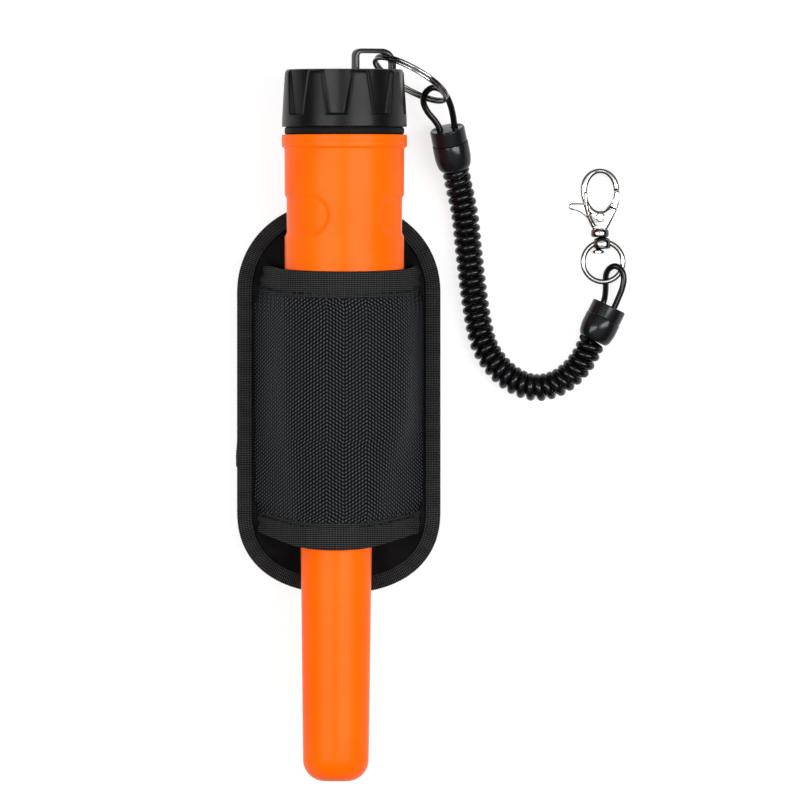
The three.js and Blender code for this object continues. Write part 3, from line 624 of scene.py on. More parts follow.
def make_housing():
    inner = [(TIP_Y + 2.4, 6.0), (TIP_Y + 4.5, 8.6), (SHOULDER_LOW, 9.9), (SHOULDER_TOP + 1, BORE_R),
             (NECK_TOP - 0.3, BORE_R), (NECK_TOP, BORE_R + 0.3)]
    threads = []
    for turn in range(THREAD_TURNS):
        y = NECK_TOP - 1.6 - THREAD_PITCH * turn
        threads += [(y, NECK_R - 0.55), (y - 0.5, NECK_R), (y - 1.3, NECK_R), (y - 1.8, NECK_R - 0.55)]
    collar = [(NECK_TOP, NECK_R - 0.85), (NECK_TOP - 0.3, NECK_R - 0.55)] + threads
    collar += [(COLLAR_TOP, NECK_R - 0.55), (COLLAR_TOP, COLLAR_R - 0.3), (COLLAR_TOP - 0.1, COLLAR_R - 0.1),
               (COLLAR_TOP - 0.35, COLLAR_R), (COLLAR_BASE + 0.35, COLLAR_R),
               (COLLAR_BASE + 0.05, COLLAR_R - 0.15), (COLLAR_BASE - 0.1, COLLAR_R - 0.5),
               (COLLAR_BASE - 0.4, HANDLE_R_TOP + 0.12)]
    outer = [(y, housing_radius(y)) for y in spread(COLLAR_BASE - 0.9, 74.0, 6)]
    outer += [(y, housing_radius(y)) for y in spread(72.6, 56.0, 58)]
    outer += [(y, housing_radius(y)) for y in spread(53.0, TIP_Y + 12, 46)]
    tip = arc(BARREL_R_TIP - 7.0, TIP_Y + 7.0, 7.0, 7.0, 0, -90, 12)
    outer += [(y, r) for r, y in tip] + [(TIP_Y, 1.0)]
    segments = 288
    rings = []
    for y, r in inner + collar + outer:
        ring = []
        for i, (c, s) in enumerate(circle_points(segments)):
            radius = r - (recess_depth(360 * i / segments, y) if r > 18.5 and y < 75 else 0.0)
            ring.append((housing_centre(y) + radius * c, y, AXIS_Z + radius * s))
        rings.append(ring)
    body = skin("housing_shell", rings)
    button_hole = drill(BUTTON_HOLE_R, 14, (AXIS_X + 11, BUTTON_Y, AXIS_Z), (1, 0, 0))
    lens_hole = drill(LENS_HOLE_R, 18, (LENS_X, -9, AXIS_Z), (0, 1, 0))
    return boolean(body, "DIFFERENCE", button_hole, lens_hole)


def lathe(name, profile, start, towards, segments):
    """A profile of (radius, distance) points turned about the line from start towards a point."""
    obj = turned(name, profile, segments, 0.0, 0.0)
    aim = Vector((0, 1, 0)).rotation_difference((Vector(towards) - Vector(start)).normalized())
    obj.data.transform(Matrix.Translation(Vector(start) * MM) @ aim.to_matrix().to_4x4())
    return obj


def drill(radius, depth, start, direction, segments=48):
    """The plug that a drilled hole takes out."""
    profile = [(0.01, 0), (radius, 0), (radius, depth), (0.01, depth)]
    return lathe("drill", profile, start, Vector(start) + Vector(direction), segments)


# ---- cap
CAP_RECESSES, CAP_PHASE = 8, 97.0
CAP_RECESS_LOW, CAP_FLOOR_R = 96.6, 18.75
CAP_CAVITY_TOP, CAP_CAVITY_R = 108.3, 17.7


def cap_radius(angle, y, r):
    pitch = 360 / CAP_RECESSES
    turn = abs((angle - CAP_PHASE + pitch / 2) % pitch - pitch / 2)
    half = mix(9.75, 17.2, (y - CAP_RECESS_LOW) / (CAP_TOP + 1 - CAP_RECESS_LOW))
    inside = min(math.radians(half - turn) * CAP_FLOOR_R / 1.5 + 0.15, (y - CAP_RECESS_LOW) / 0.6)
    return mix(r, min(r, CAP_FLOOR_R), smooth(inside))


def make_cap():
    inner = [(0.01, CAP_CAVITY_TOP), (CAP_CAVITY_R - 0.3, CAP_CAVITY_TOP),
             (CAP_CAVITY_R, CAP_CAVITY_TOP - 0.3), (CAP_CAVITY_R, CAP_BASE + 0.3),
             (CAP_CAVITY_R + 0.3, CAP_BASE)]
    wall = [(CAP_R_BASE - 0.25, CAP_BASE), (CAP_R_BASE - 0.06, CAP_BASE + 0.08),
            (CAP_R_BASE, CAP_BASE + 0.3)]
    for y in spread(CAP_BASE + 0.8, 96.2, 6) + spread(96.45, 97.4, 8) + spread(97.9, 109.8, 34):
        wall.append((along(y, [(110.0, CAP_R_TOP), (96.0, CAP_R_BASE - 0.1), (CAP_BASE, CAP_R_BASE)]), y))
    rim = arc(CAP_R_TOP - 1.5, 110.0, 1.5, 1.5, 4, 90, 9)
    face = [(r, CAP_TOP) for r in (17.2, 14.0, 9.0, 4.0, 0.01)]
    segments = 360
    rings = []
    for r, y in inner + wall + rim + face:
        ring = []
        for i, (c, s) in enumerate(circle_points(segments)):
            radius = cap_radius(i, y, r) if y > CAP_RECESS_LOW and (r, y) not in inner else r
            ring.append((AXIS_X + radius * c, y, AXIS_Z + radius * s))
        rings.append(ring)
    return skin("cap_shell", rings)


def make_bail():
    half, height, bar, depth, socket = 6.5, 5.9, 0.8, 1.6, 2.0

    def side(offset):
        points = [(-half - offset, -socket)]
        points += arc(1.6 - half, height - 1.6, 1.6 + offset, 1.6 + offset, 180, 90, 10)
        points += arc(half - 4.2, height - 4.2, 4.2 + offset, 4.2 + offset, 90, 0, 16)
        return points + [(half + offset, -socket)]

    bail = plate("bail_loop", side(bar) + side(-bar)[::-1], -depth, depth, 0.3)
    turn = Matrix.Rotation(math.radians(25), 4, "Y")
    bail.data.transform(Matrix.Translation(Vector((11.35, CAP_TOP, AXIS_Z)) * MM) @ turn)
    return bail


# ---- lanyard fittings
RING_CENTRE = Vector((23.2, 108.5, 22.4))
UPPER_FERRULE = (Vector((37.7, 79.5, 7.4)), Vector((35.0, 92.6, 11.1)))
LOWER_FERRULE = (Vector((82.2, 24.2, 6.1)), Vector((87.6, 35.3, 6.1)))
CLASP_X, CLASP_Z = 84.5, 3.7
CLASP_RING_CENTRE, CLASP_RING_R = Vector((85.5, 49.5, CLASP_Z)), 6.45
CLASP_HALF = 2.1
PIVOT = (84.6, 63.9)


def make_split_ring():
    """A double turn of flat wire; it crosses from the lower strand to the upper in a short step."""
    step = 0.16
    section = rounded_rectangle(1.15, 0.92, 0.3)
    rings = []
    for turn in spread(step, 4 * math.pi - step, 260):
        rise = smooth((turn - 2 * math.pi + step) / (2 * step)) * 1.1 - 0.55
        c, s = math.cos(turn), math.sin(turn)
        rings.append([((13.0 + a) * c, rise + b, (13.0 + a) * s) for a, b in section])
    ring = skin("key_ring_wire", rings)
    tilt = Matrix.Rotation(-math.asin(0.26), 4, "X")
    yaw = Matrix.Rotation(math.radians(-29.4), 4, "Z")
    ring.data.transform(Matrix.Translation(RING_CENTRE * MM) @ yaw @ tilt)
    return ring


def make_ferrule(prefix, ends, holes, hole_radius):
    coil, loop = ends
    length = (loop - coil).length
    seam = length * 0.66
    sleeve = [(3.1, 1.2), (3.1, 0.25), (3.5, 0.0), (4.35, 0.0), (4.6, 0.15), (5.0, 0.6), (5.3, 1.2),
              (5.5, 1.9), (5.66, 2.8), (5.8, 3.6), (5.85, 4.4), (5.85, seam - 0.45), (5.78, seam - 0.32),
              (5.6, seam - 0.3), (0.01, seam - 0.3)]
    plug = [(0.01, seam - 0.25), (5.45, seam - 0.25), (5.62, seam - 0.1), (5.68, seam + 0.1),
            (5.68, length - 0.5), (5.6, length - 0.2), (5.35, length), (0.01, length)]
    body = lathe(prefix + "_ferrule_body", sleeve, coil, loop, 96)
    nose = lathe(prefix + "_ferrule_nose", plug, coil, loop, 96)
    ahead = (loop - coil).normalized()
    for hole in holes:
        boolean(nose, "DIFFERENCE", drill(hole_radius, 4, hole - ahead * 1.2, ahead, 32))
    return body, nose


def torus(name, centre, radius, wire, segments=128, sides=24):
    rings = []
    for c, s in circle_points(segments):
        section = [(radius + wire * a, wire * b) for a, b in circle_points(sides)]
        rings.append([(centre.x + r * c, centre.y + r * s, centre.z + z) for r, z in section])
    return skin(name, rings, loop=True)


def block(name, x0, x1, y0, y1, z0, z1):
    ring = [(x0, y0), (x1, y0), (x1, y1), (x0, y1)]
    return skin(name, [[(x, y, z) for x, y in ring] for z in (z0, z1)])


def make_swivel():
    """A bulb cast round the clasp ring, with a peened pin end below it and a post into the collar."""
    bulb = [(0.01, 53.6), (1.8, 53.6), (2.7, 54.0), (2.95, 54.7), (2.95, 56.0), (2.6, 56.8), (2.0, 57.2),
            (1.1, 57.5), (1.1, 60.5), (1.7, 60.6), (1.7, 61.1), (0.01, 61.2)]
    body = turned("swivel_bulb", bulb, 64, 85.2, CLASP_Z)
    boolean(body, "DIFFERENCE", torus("swivel_bore", CLASP_RING_CENTRE, CLASP_RING_R, 1.45, 96))
    peened = [(0.01, 52.2), (1.5, 52.2), (1.9, 52.45), (1.9, 52.95), (1.3, 53.3), (0.9, 53.5), (0.9, 53.9),
              (0.01, 54.0)]
    pin = turned("swivel_peened_end", peened, 48, 84.0, CLASP_Z)
    return merged("swivel_casting", [body, pin])


def make_hook():
    low, high = CLASP_Z - CLASP_HALF, CLASP_Z + CLASP_HALF
    opening = arc(84.65, 72.0, 4.35, 6.2, -42, -357, 64)
    crown = arc(84.5, 73.2, 6.2, 6.5, -5, 180, 40)
    neck_right = [(82.6, 59.6), (86.4, 59.6), (86.9, 60.2), (87.7, 61.6), (90.0, 66.4)]
    neck_left = [(78.4, 71.0), (78.9, 69.0), (80.1, 64.5), (81.3, 61.6), (82.1, 60.2)]
    hook = plate("hook_casting", neck_right + opening + crown + neck_left, low, high, 0.8)
    collar = [(0.01, 57.5), (2.3, 57.5), (2.75, 57.7), (2.88, 58.1), (2.88, 59.3), (2.7, 59.8), (2.3, 60.1),
              (0.01, 60.2)]
    boolean(hook, "UNION", turned("hook_collar", collar, 64, CLASP_X, CLASP_Z))
    spine = [(82.6, 61.0), (81.5, 63.2), (80.6, 65.9), (80.0, 68.8), (79.9, 71.8)]
    groove = centripetal([(x, y, high) for x, y in spine], 40)
    channel = sweep("hook_groove", groove, [(0.62 * c, 0.9 * s) for c, s in circle_points(16)])
    slot = block("hook_slot", 75, 95, 62.1, 68.9, CLASP_Z - 1.2, CLASP_Z + 1.2)
    return boolean(hook, "DIFFERENCE", channel, slot)


def make_gate():
    heel = arc(PIVOT[0], PIVOT[1], 1.5, 1.5, 220, 320, 8)
    arm = [(87.4, 66.0), (90.2, 66.9), (90.7, 69.5), (90.75, 72.55), (89.1, 72.1), (88.85, 70.2),
           (88.1, 68.6), (86.0, 66.0)]
    tab = [(83.6, 65.9), (81.0, 67.2), (79.2, 68.35), (77.4, 68.5)] + arc(75.6, 67.4, 1.2, 1.1, 90, 270, 12)
    tab += [(76.8, 66.1), (78.2, 65.5), (79.4, 64.6), (80.6, 63.4), (82.4, 63.2)]
    lever = plate("gate_lever", heel + arm + tab, CLASP_Z - 0.9, CLASP_Z + 0.4, 0.42)
    tip = [(87.9, 68.2), (90.5, 67.9), (90.72, 69.5), (90.75, 72.55), (89.1, 72.1), (88.85, 70.2)]
    return boolean(lever, "UNION", plate("gate_tip", tip, CLASP_Z - 1.7, CLASP_Z + 1.7, 0.4))


def make_pin():
    low, high = CLASP_Z - CLASP_HALF, CLASP_Z + CLASP_HALF
    half = [(0.01, 0.8), (0.75, 0.8), (0.95, 0.62), (1.1, 0.62), (1.25, 0.8), (1.5, 0.72), (1.6, 0.5),
            (1.6, 0.3), (0.6, 0.3)]
    profile = [(r, high + y) for r, y in half] + [(r, low - y) for r, y in half[::-1]]
    return lathe("gate_rivet", [(r, y - low) for r, y in profile], (*PIVOT, low), (*PIVOT, high), 48)


def make_spring():
    """Two and a half turns of wire round the rivet."""
    coil_r, wire_r, steps = 1.25, 0.17, 24
    points = []
    for i in range(60):
        turn = 2 * math.pi * i / steps
        x, y = PIVOT[0] + coil_r * math.cos(turn), PIVOT[1] + coil_r * math.sin(turn)
        points.append(Vector((x, y, CLASP_Z + 0.6 + 0.005 * i)))
    return sweep("torsion_spring", points, [(wire_r * c, wire_r * s) for c, s in circle_points(10)])


# ---- holster
FOOT_Z = 11.65
POCKET_R_TOP, POCKET_R_LOW = 20.5, 13.7
SEAM_LEFT = [(48.6, -22.7), (40.0, -24.6), (36.0, -25.9), (-27.0, -25.9), (-31.0, -24.4)]
SEAM_RIGHT = [(48.6, 24.3), (40.0, 24.9), (36.0, 26.0), (-27.0, 26.0), (-31.0, 24.7)]


def panel_outline(inset, count):
    points = []
    for centre, reach, power, side in ((39.4, 30.0, 2.1, 1), (-30.8, -27.0, 2.3, -1)):
        for i in range(121):
            turn = math.pi * i / 120
            c, s = math.cos(turn) * side, math.sin(turn)
            x = math.copysign(abs(c) ** (2 / power), c) * (33.0 - inset)
            points.append(Vector((x, centre + s ** (2 / power) * (reach - math.copysign(inset, reach)), 0)))
    return even(points + points[:1], count + 1)[:-1]


def make_panel():
    """A foam-filled pad: two faces that meet at the bound edge."""
    rim = panel_outline(1.0, 180)
    face = [(share, 0.0) for share in (0.03, 0.2, 0.4, 0.6, 0.78, 0.9)] + [(0.97, 0.2), (1.0, 0.9)]
    levels = [(share, panel_high.z - drop) for share, drop in face]
    levels += [(share, panel_low.z + drop) for share, drop in face[::-1]]
    rings = []
    for share, z in levels:
        ring = []
        for p in rim:
            q = Vector((0, min(38.0, max(-29.0, p.y)), 0)).lerp(p, share)
            ring.append((q.x, q.y, z))
        rings.append(ring)
    return skin("padded_panel", rings)


def swell(obj, pressure, limit, pinned):
    """Cloth under pressure, with the pinned points held and no point moved further than limit (mm)."""
    frames = 16
    scene = bpy.context.scene
    before = [v.co.copy() for v in obj.data.vertices]
    group = obj.vertex_groups.new(name="pinned")
    group.add([v.index for v in obj.data.vertices if pinned(v.co / MM)], 1.0, "REPLACE")
    cloth = obj.modifiers.new("cloth", "CLOTH")
    cloth.settings.quality = 6
    cloth.settings.mass = 0.3
    cloth.settings.use_pressure = True
    cloth.settings.uniform_pressure_force = pressure
    cloth.settings.vertex_group_mass = "pinned"
    cloth.settings.effector_weights.gravity = 0.0
    cloth.point_cache.frame_start, cloth.point_cache.frame_end = 1, frames
    for number in range(frames):
        scene.frame_set(number + 1)
    bake(obj)
    scene.frame_set(1)
    for vertex, place in zip(obj.data.vertices, before):
        shift = vertex.co - place
        if shift.length > limit * MM:
            vertex.co = place + shift.normalized() * limit * MM
    return obj


BINDING_RIB, TAPE_THICK = 0.62, 0.45


def make_binding():
    """A ribbed tape folded round the panel's edge, with its two ends lapped on the left side."""
    rim = panel_outline(0.0, 2000)
    low, high = binding_low.z, binding_high.z
    middle, half = (low + high) / 2, (high - low) / 2
    outer = [(-4.8, half - 0.12), (-4.3, half), (-3.0, half), (-1.9, half - 0.05)]
    outer += [(x, z) for x, z in arc(-1.5, half - 1.55, 1.5, 1.5, 80, 0, 7)]
    outer += [(x, -z) for x, z in reversed(outer)]

    def is_flat(z):
        return abs(z) > half - 0.6

    inner = [(min(x, -0.5), z - math.copysign(TAPE_THICK, z) if is_flat(z) else z) for x, z in outer]
    rings, run = [], 0.0
    for i, point in enumerate(rim):
        ahead = (rim[(i + 1) % len(rim)] - rim[i - 1]).normalized()
        side = Vector((ahead.y, -ahead.x, 0))
        rib = 0.07 * math.cos(2 * math.pi * run / BINDING_RIB)
        lap = 0.35 * smooth((point.y + 17.0) / 0.5) * smooth((-7.5 - point.y) / 6.0) * (point.x < -20)
        ring = []
        for (x, z), sign in [(p, 1) for p in outer] + [(p, 0) for p in inner[::-1]]:
            grow = sign * (rib + lap)
            q = point + side * (x + (0 if is_flat(z) else grow - 0.1))
            ring.append((q.x, q.y, middle + z + (math.copysign(grow - 0.07, z) if is_flat(z) else 0)))
        rings.append(ring)
        run += (rim[(i + 1) % len(rim)] - point).length
    return skin("binding_tape_sweep", rings, loop=True)


def pocket_line(edge, grow, count):
    """Evenly spaced (x, z) points from the left seam over the probe to the right seam."""
    seam_y, crown_y = edge
    narrowing = smooth((2.0 - crown_y) / 42.0)
    radius = mix(POCKET_R_TOP, POCKET_R_LOW, narrowing) + grow
    x = AXIS_X + (TIP_X - AXIS_X) * narrowing

    def touch(foot_x, sign):
        dx, dz = (foot_x - x) * sign, FOOT_Z - AXIS_Z
        angle = math.degrees(math.atan2(dz, dx) + math.acos(radius / math.hypot(dx, dz)))
        return angle if sign > 0 else 180 - angle

    left, right = along(seam_y, SEAM_LEFT) - grow, along(seam_y, SEAM_RIGHT) + grow
    bow = arc(x, AXIS_Z, radius, radius, touch(left, -1), touch(right, 1), 90)
    points = [Vector((left, FOOT_Z))] + [Vector(p) for p in bow] + [Vector((right, FOOT_Z))]
    points = even(points, 100)
    for _ in range(30):
        eased = [(a + 2 * b + c) / 4 for a, b, c in zip(points, points[1:], points[2:])]
        points = points[:1] + eased + points[-1:]
    return even(points, count), x


def pocket_row(edge, grow, count, relief=None):
    seam_y, crown_y = edge
    line, middle = pocket_line(edge, grow, count)
    crown = max(p.y for p in line)
    run = running(line)
    at_crown = next(r for r, p in zip(run, line) if p.x >= middle)
    spots, marks = [], []
    for i, p in enumerate(line):
        y = seam_y + (crown_y - seam_y) * (p.y - FOOT_Z) / (crown - FOOT_Z)
        ahead = heading(line, i)
        push = relief(p.x, y, run[i] - at_crown) if relief else 0.0
        spots.append((p.x - ahead.y * push, y, p.y + ahead.x * push))
        marks.append((middle + 0.35 * (run[i] - at_crown) + 0.65 * (p.x - middle), y))
    return spots, marks


def shell_between(name, outer, inner, marks):
    """A closed sheet with an outer and an inner face, both given as rows of points."""
    rows, count = len(outer), len(outer[0])
    verts = [p for row in outer for p in row] + [p for row in inner for p in row]
    flat = [m for row in marks for m in row] * 2
    under = rows * count
    faces = []
    for r in range(rows - 1):
        for i in range(count - 1):
            a = r * count + i
            faces.append((a, a + 1, a + count + 1, a + count))
            faces.append((under + a, under + a + count, under + a + count + 1, under + a + 1))
    edge = [r * count for r in range(rows)] + [(rows - 1) * count + i for i in range(1, count)]
    edge += [r * count + count - 1 for r in range(rows - 2, -1, -1)] + list(range(count - 2, 0, -1))
    for a, b in zip(edge, edge[1:] + edge[:1]):
        faces.append((a, b, under + b, under + a))
    return make_object(name, verts, faces, [[flat[v] for v in face] for face in faces])


POCKET_EDGES = {"top": ((48.6, 46.2), (40.0, 37.3)), "cloth": ((40.5, 37.8), (-31.6, -35.2)),
                "bottom": ((-31.1, -34.8), (-38.3, -43.6))}


def edge_at(band, t):
    upper, lower = POCKET_EDGES[band]
    return mix(upper[0], lower[0], t), mix(upper[1], lower[1], t)


def cloth_relief(x, y, across):
    """Slow unevenness of the pocket's cloth, and a faint pucker beside the hems."""
    slow = noise.noise(Vector((x * 0.06, y * 0.045, 3.1))) * 0.28
    pucker = math.exp(-((37.5 - y) / 5.0) ** 2) + math.exp(-((y + 34.0) / 5.0) ** 2)
    return slow - 0.05 + 0.10 * pucker * math.sin(across * 1.9) - 0.12 * pucker


def pocket_sheet(name, band, steps, count, layer):
    """A closed sheet on a band of the pocket; layer(t) gives its outer and inner growth and its relief."""
    outer, inner, marks = [], [], []
    for t in spread(0, 1, steps):
        high, low, relief = layer(t)
        spots, mark = pocket_row(edge_at(band, t), high, count, relief)
        outer.append(spots)
        marks.append(mark)
        inner.append(pocket_row(edge_at(band, t), low, count)[0])
    return shell_between(name, outer, inner, marks)


def make_pocket():
    return pocket_sheet("pocket_cloth", "cloth", 110, 130, lambda t: (1.25, 0.05, cloth_relief))


def make_hem(band, name):
    """A tape folded over the pocket's edge, with rounded folds and fine ribs that run down the tape."""
    length = abs(POCKET_EDGES[band][0][1] - POCKET_EDGES[band][1][1])

    def layer(t):
        down = t * length
        edge_drop = min(down, length - down)
        swell_by = 0.95 * math.sqrt(max(0.0, 1 - max(0.0, 1 - edge_drop / 0.9) ** 2))
        from_cloth = length - down if band == "top" else down
        seam = math.exp(-((from_cloth - 1.5) / 0.45) ** 2)

        def relief(x, y, across):
            ribs = 0.06 * math.sin(2 * math.pi * across / 0.8)
            pucker = 0.22 * noise.noise(Vector((across * 0.35, y * 0.12, 9.0)))
            pinch = smooth((abs(x) - 18.0) / 7.0)
            creases = 0.3 * math.sin(1.7 * y + 0.9 * x) - 0.35
            return ribs - (0.3 + 0.1 * math.sin(across * 1.9)) * seam + pucker + pinch * creases

        return 0.95 + swell_by - 0.1, 0.95 - swell_by * 0.9, relief

    return pocket_sheet(name, band, 40, 420, layer)


THREAD_WIDTH, THREAD_SAG, THREAD_SIDES = 0.42, 0.16, 8


def stitch(start, stop, up):
    """One thread that comes out of the cloth and goes back in."""
    rings = []
    along_it = stop - start
    side = along_it.normalized().cross(up).normalized()
    for t in spread(0, 1, 7):
        lift = up * (THREAD_WIDTH * 0.28 * math.sin(math.pi * t) - THREAD_SAG)
        thick = THREAD_WIDTH / 2 * (0.55 + 0.45 * math.sin(math.pi * t))
        centre = start.lerp(stop, t) + lift
        section = circle_points(THREAD_SIDES)
        rings.append([centre + side * thick * c + up * thick * s * 0.8 for c, s in section])
    return rings


def make_stitches(name, rows, length, gap):
    """Stitches along rows of (point, up) pairs."""
    verts, faces, uvs = [], [], []
    for row in rows:
        run, k = 0.3, 0
        lengths = running([point for point, _ in row])
        while run + length < lengths[-1]:
            ends = []
            for target in (run, run + length):
                while lengths[k + 1] < target:
                    k += 1
                t = (target - lengths[k]) / (lengths[k + 1] - lengths[k])
                ends.append(row[k][0].lerp(row[k + 1][0], t))
            rings = stitch(ends[0], ends[1], row[k][1])
            base = len(verts)
            verts += [p for ring in rings for p in ring]
            for r in range(len(rings) - 1):
                low = base + r * THREAD_SIDES
                high = low + THREAD_SIDES
                for i in range(THREAD_SIDES):
                    j = (i + 1) % THREAD_SIDES
                    faces.append((low + i, low + j, high + j, high + i))
                    uvs.append([(i / 3, r), (j / 3, r), (j / 3, r + 1), (i / 3, r + 1)])
            faces += [tuple(range(base, base + THREAD_SIDES)), tuple(range(high, high + THREAD_SIDES))]
            uvs += [[(0, 0)] * THREAD_SIDES] * 2
            run += length + gap
    return make_object(name, verts, faces, uvs)


def hem_stitch_row(band, share):
    spots, _ = pocket_row(edge_at(band, share), 1.72, 160)
    spots = [Vector(p) for p in spots]
    row = []
    for i, p in enumerate(spots[4:-4], 4):
        tangent = spots[i + 1] - spots[i - 1]
        row.append((p, Vector((-tangent.z, 0, tangent.x)).normalized()))
    return row


def binding_stitch_rows():
    rows = []
    for z, up in ((binding_high.z - 0.02, 1), (binding_low.z + 0.02, -1)):
        rows.append([(Vector((p.x, p.y, z)), Vector((0, 0, up))) for p in panel_outline(4.0, 400)])
    return rows


def make_belt_loop():
    half_width = (loop_high.x - loop_low.x) / 2
    low, high = loop_low.y, loop_high.y
    line = [(high - 7.7, 5.0)] + arc(high - 2.9, 2.9, 2.1, 2.1, 90, -90, 12)
    line += [(y, 0.8) for y in spread(high - 5.0, low + 5.0, 60)]
    line += arc(low + 2.9, 2.9, -2.1, 2.1, -90, 90, 12) + [(low + 7.7, 5.0)]
    path = [Vector((0, y, z)) for y, z in line]
    edge, half_thick = half_width - 0.6, 0.75
    section = [(x, half_thick) for x in spread(-edge, edge, 40)]
    section += arc(edge, 0, 0.6, half_thick, 80, -80, 5)
    section += [(x, -half_thick) for x in spread(edge, -edge, 40)]
    section += arc(-edge, 0, 0.6, half_thick, 260, 100, 5)
    rings = []
    for i, point in enumerate(path):
        ahead = heading(path, i)
        top = Vector((0, -ahead.z, ahead.y))
        rings.append([point + Vector((a, 0, 0)) + top * b for a, b in section])
    return skin("webbing_strap", rings)


# ---- put together
def make_gasket():
    profile = [(17.7, 90.45), (17.6, 90.7), (17.6, 92.6), (17.7, 92.85), (18.7, 92.85), (19.05, 92.7),
               (19.3, 92.2), (19.3, 91.1), (19.1, 90.6), (18.8, 90.45), (17.7, 90.45)]
    return turned("gasket_ring", profile, 128)


def make_button():
    profile = [(0.01, 0), (1.7, 0), (1.7, 3.8), (6.0, 3.8), (6.0, 4.9), (4.3, 4.9), (4.3, 8.6), (4.15, 9.1),
               (3.7, 9.5), (3.1, 9.6), (2.7, 9.35), (2.3, 9.6), (1.2, 9.6), (0.01, 9.6)]
    return lathe("button_cover", profile, (11.9, BUTTON_Y, AXIS_Z), (20, BUTTON_Y, AXIS_Z), 64)


def make_lens():
    profile = [(0.01, -6.4), (0.9, -6.32), (1.7, -6.0), (2.4, -5.35), (2.85, -4.4), (3.0, -3.4), (3.0, 1.5),
               (0.01, 1.5)]
    return turned("lamp_lens", profile, 64, LENS_X)


def make_clasp_ring():
    return torus("clasp_wire_ring", CLASP_RING_CENTRE, CLASP_RING_R, 0.85)


def make_everything(look):
    pieces = {}

    def keep(obj, body, node, material):
        pieces[obj.name] = finish_piece(obj, body, node, look[material])
        return obj

    def keep_metal(rows):
        for build, body, node in rows:
            keep(build(), body, node, "nickel")

    keep(make_housing(), "probe", "probe_housing", "orange")
    keep(make_cap(), "cap", "battery_cap", "cap")
    keep(make_gasket(), "cap_seal", "cap_gasket", "rubber")
    keep(make_bail(), "cap", "lanyard_bail", "gloss")
    keep(make_button(), "button", "power_button", "rubber")
    keep(make_lens(), "probe", "led_lens", "clear")

    keep_metal([(make_split_ring, "key_ring", "split_ring")])
    ferrules = []
    for prefix, ends, loop, hole_radius in (("upper", UPPER_FERRULE, UPPER_LOOP, 1.3),
                                            ("lower", LOWER_FERRULE, LOWER_LOOP, 1.25)):
        body, nose = make_ferrule(prefix, ends, [Vector(loop[0]), Vector(loop[-1])], hole_radius)
        keep(body, "cord", prefix + "_ferrule_sleeve", "gloss")
        keep(nose, "cord", prefix + "_ferrule_plug", "gloss")
        ferrules += [body, nose]
    keep_metal([(make_clasp_ring, "clasp_link", "clasp_ring"), (make_swivel, "swivel", "swivel_eye"),
                (make_hook, "clasp", "clasp_body"), (make_gate, "gate", "clasp_gate"),
                (make_pin, "clasp", "gate_pin")])
    keep(make_spring(), "clasp", "gate_spring", "steel")

    def sew(obj, node, material):
        return keep(obj, "holster", node, material)

    panel = sew(swell(make_panel(), 3.0, 0.7, is_sewn), "back_panel", "panel")
    sew(make_binding(), "edge_binding", "tape")
    pocket = sew(make_pocket(), "pocket_front", "ballistic")
    top_hem = sew(make_hem("top", "top_hem_tape"), "pocket_top_hem", "tape")
    low_hem = sew(make_hem("bottom", "bottom_hem_tape"), "pocket_bottom_hem", "tape")
    hem_rows = [hem_stitch_row("top", 0.83), hem_stitch_row("bottom", 0.17)]
    seams = sew(make_stitches("hem_stitches", hem_rows, 2.3, 0.9), None, "thread")
    sew(make_stitches("binding_stitches", binding_stitch_rows(), 2.0, 0.8), None, "thread")
    sew(make_belt_loop(), "belt_loop", "webbing")

    names = ["clasp_wire_ring", "swivel_casting", "hook_casting", "gate_lever", "gate_rivet"]
    make_cords(look["cord"], ferrules, [pieces[name] for name in names])


def is_sewn(p):
    """The panel is held at its bound edge and where the belt loop is sewn on."""
    edge = abs(p.x) > 28.5 or p.y > 63 or p.y < -51
    seam = abs(p.x) < 26 and (37 < p.y < 47 or -39 < p.y < -29) and p.z < 8
    return edge or seam or (p.z > 8 and abs(p.x) > 26)


INSIDE = {
    "board": ["circuit_board"],
    "component": ["control_chip", "buzzer", "battery_snap", "led_holder", "coil_bobbin",
                  "battery_lead_negative"],
    "grey": ["inner_chassis", "tact_switch"],
    "steel": ["vibration_motor"],
    "jacket": ["battery"],
    "ferrite": ["ferrite_rod"],
    "copper": ["search_coil", "coil_lead"],
    "red": ["battery_lead_positive"],
    "foam": ["battery_pad", "tip_cushion"],
    "clear": ["led"],
}


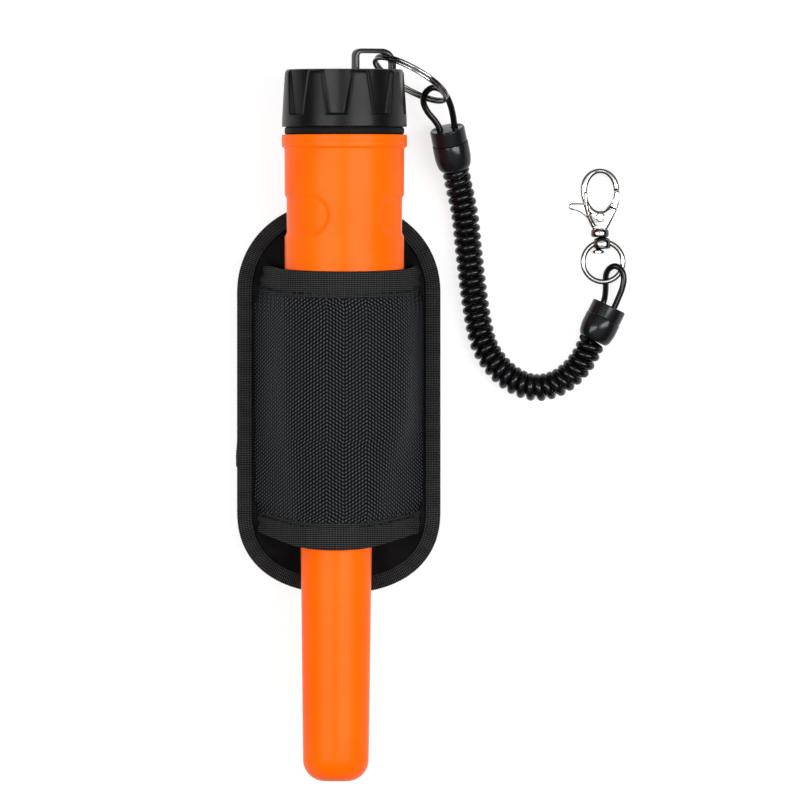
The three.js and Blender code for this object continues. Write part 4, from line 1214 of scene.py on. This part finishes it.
def dress_inside(look):
    for material, nodes in INSIDE.items():
        for node in nodes:
            dress(bpy.data.objects[node], look[material])


FLOOR_HALF = 1500
# name, place, aim, size in metres and power in watts
LIGHTS = [
    ("strip", (-0.70, 0.15, 1.1), (0.0, 0.0, 0.0), (0.10, 1.2), 2),
    ("soft", (0.60, 0.1, 1.15), (0.03, 0.0, 0.0), (0.20, 1.2), 5),
    ("sky_left", (-1.05, 0.02, 1.7), (0.0, 0.02, 0.0), (0.35, 1.4), 19),
    ("sky_right", (1.05, 0.02, 1.7), (0.02, 0.02, 0.0), (0.5, 1.4), 22),
]


def area_light(name, place, aim, size, power):
    data = bpy.data.lights.new(name, "AREA")
    data.shape = "RECTANGLE"
    data.size, data.size_y = size
    data.energy = power
    light = add_object(name, data)
    light.location = place
    light.rotation_euler = (Vector(aim) - Vector(place)).to_track_quat("-Z", "Y").to_euler()


def make_floor():
    corners = [(x * FLOOR_HALF, y * FLOOR_HALF, 0) for x, y in ((-1, -1), (1, -1), (1, 1), (-1, 1))]
    floor = make_object("floor", corners, [(0, 1, 2, 3)])
    paper = Shader("paper", (0.28, 0.28, 0.28), 0.9, Emission_Color=(1, 1, 1, 1), Emission_Strength=0.75)
    dress(floor, paper.relief((paper.noise(900), 0.01, 0.2)))


def make_sky():
    """A white sky that is bright overhead and falls off to dark at the sides."""
    world = bpy.data.worlds.new("studio")
    bpy.context.scene.world = world
    world.use_nodes = True
    tree = world.node_tree
    background = tree.nodes["Background"].inputs
    background["Color"].default_value = (1, 1, 1, 1)
    direction = add_node(tree, "ShaderNodeTexCoord", {}, "Generated")
    height = add_node(tree, "ShaderNodeSeparateXYZ", {0: direction}, 2)
    fall = add_node(tree, "ShaderNodeMapRange", {0: height, 1: 0.55, 2: 0.97, 3: 0.02, 4: 0.95})
    feed(tree, background["Strength"], fall)


def make_studio():
    bpy.context.scene.view_settings.view_transform = "Standard"
    make_floor()
    make_sky()
    for row in LIGHTS:
        area_light(*row)


make_camera()
looks = make_materials()
make_everything(looks)
dress_inside(looks)
make_studio()
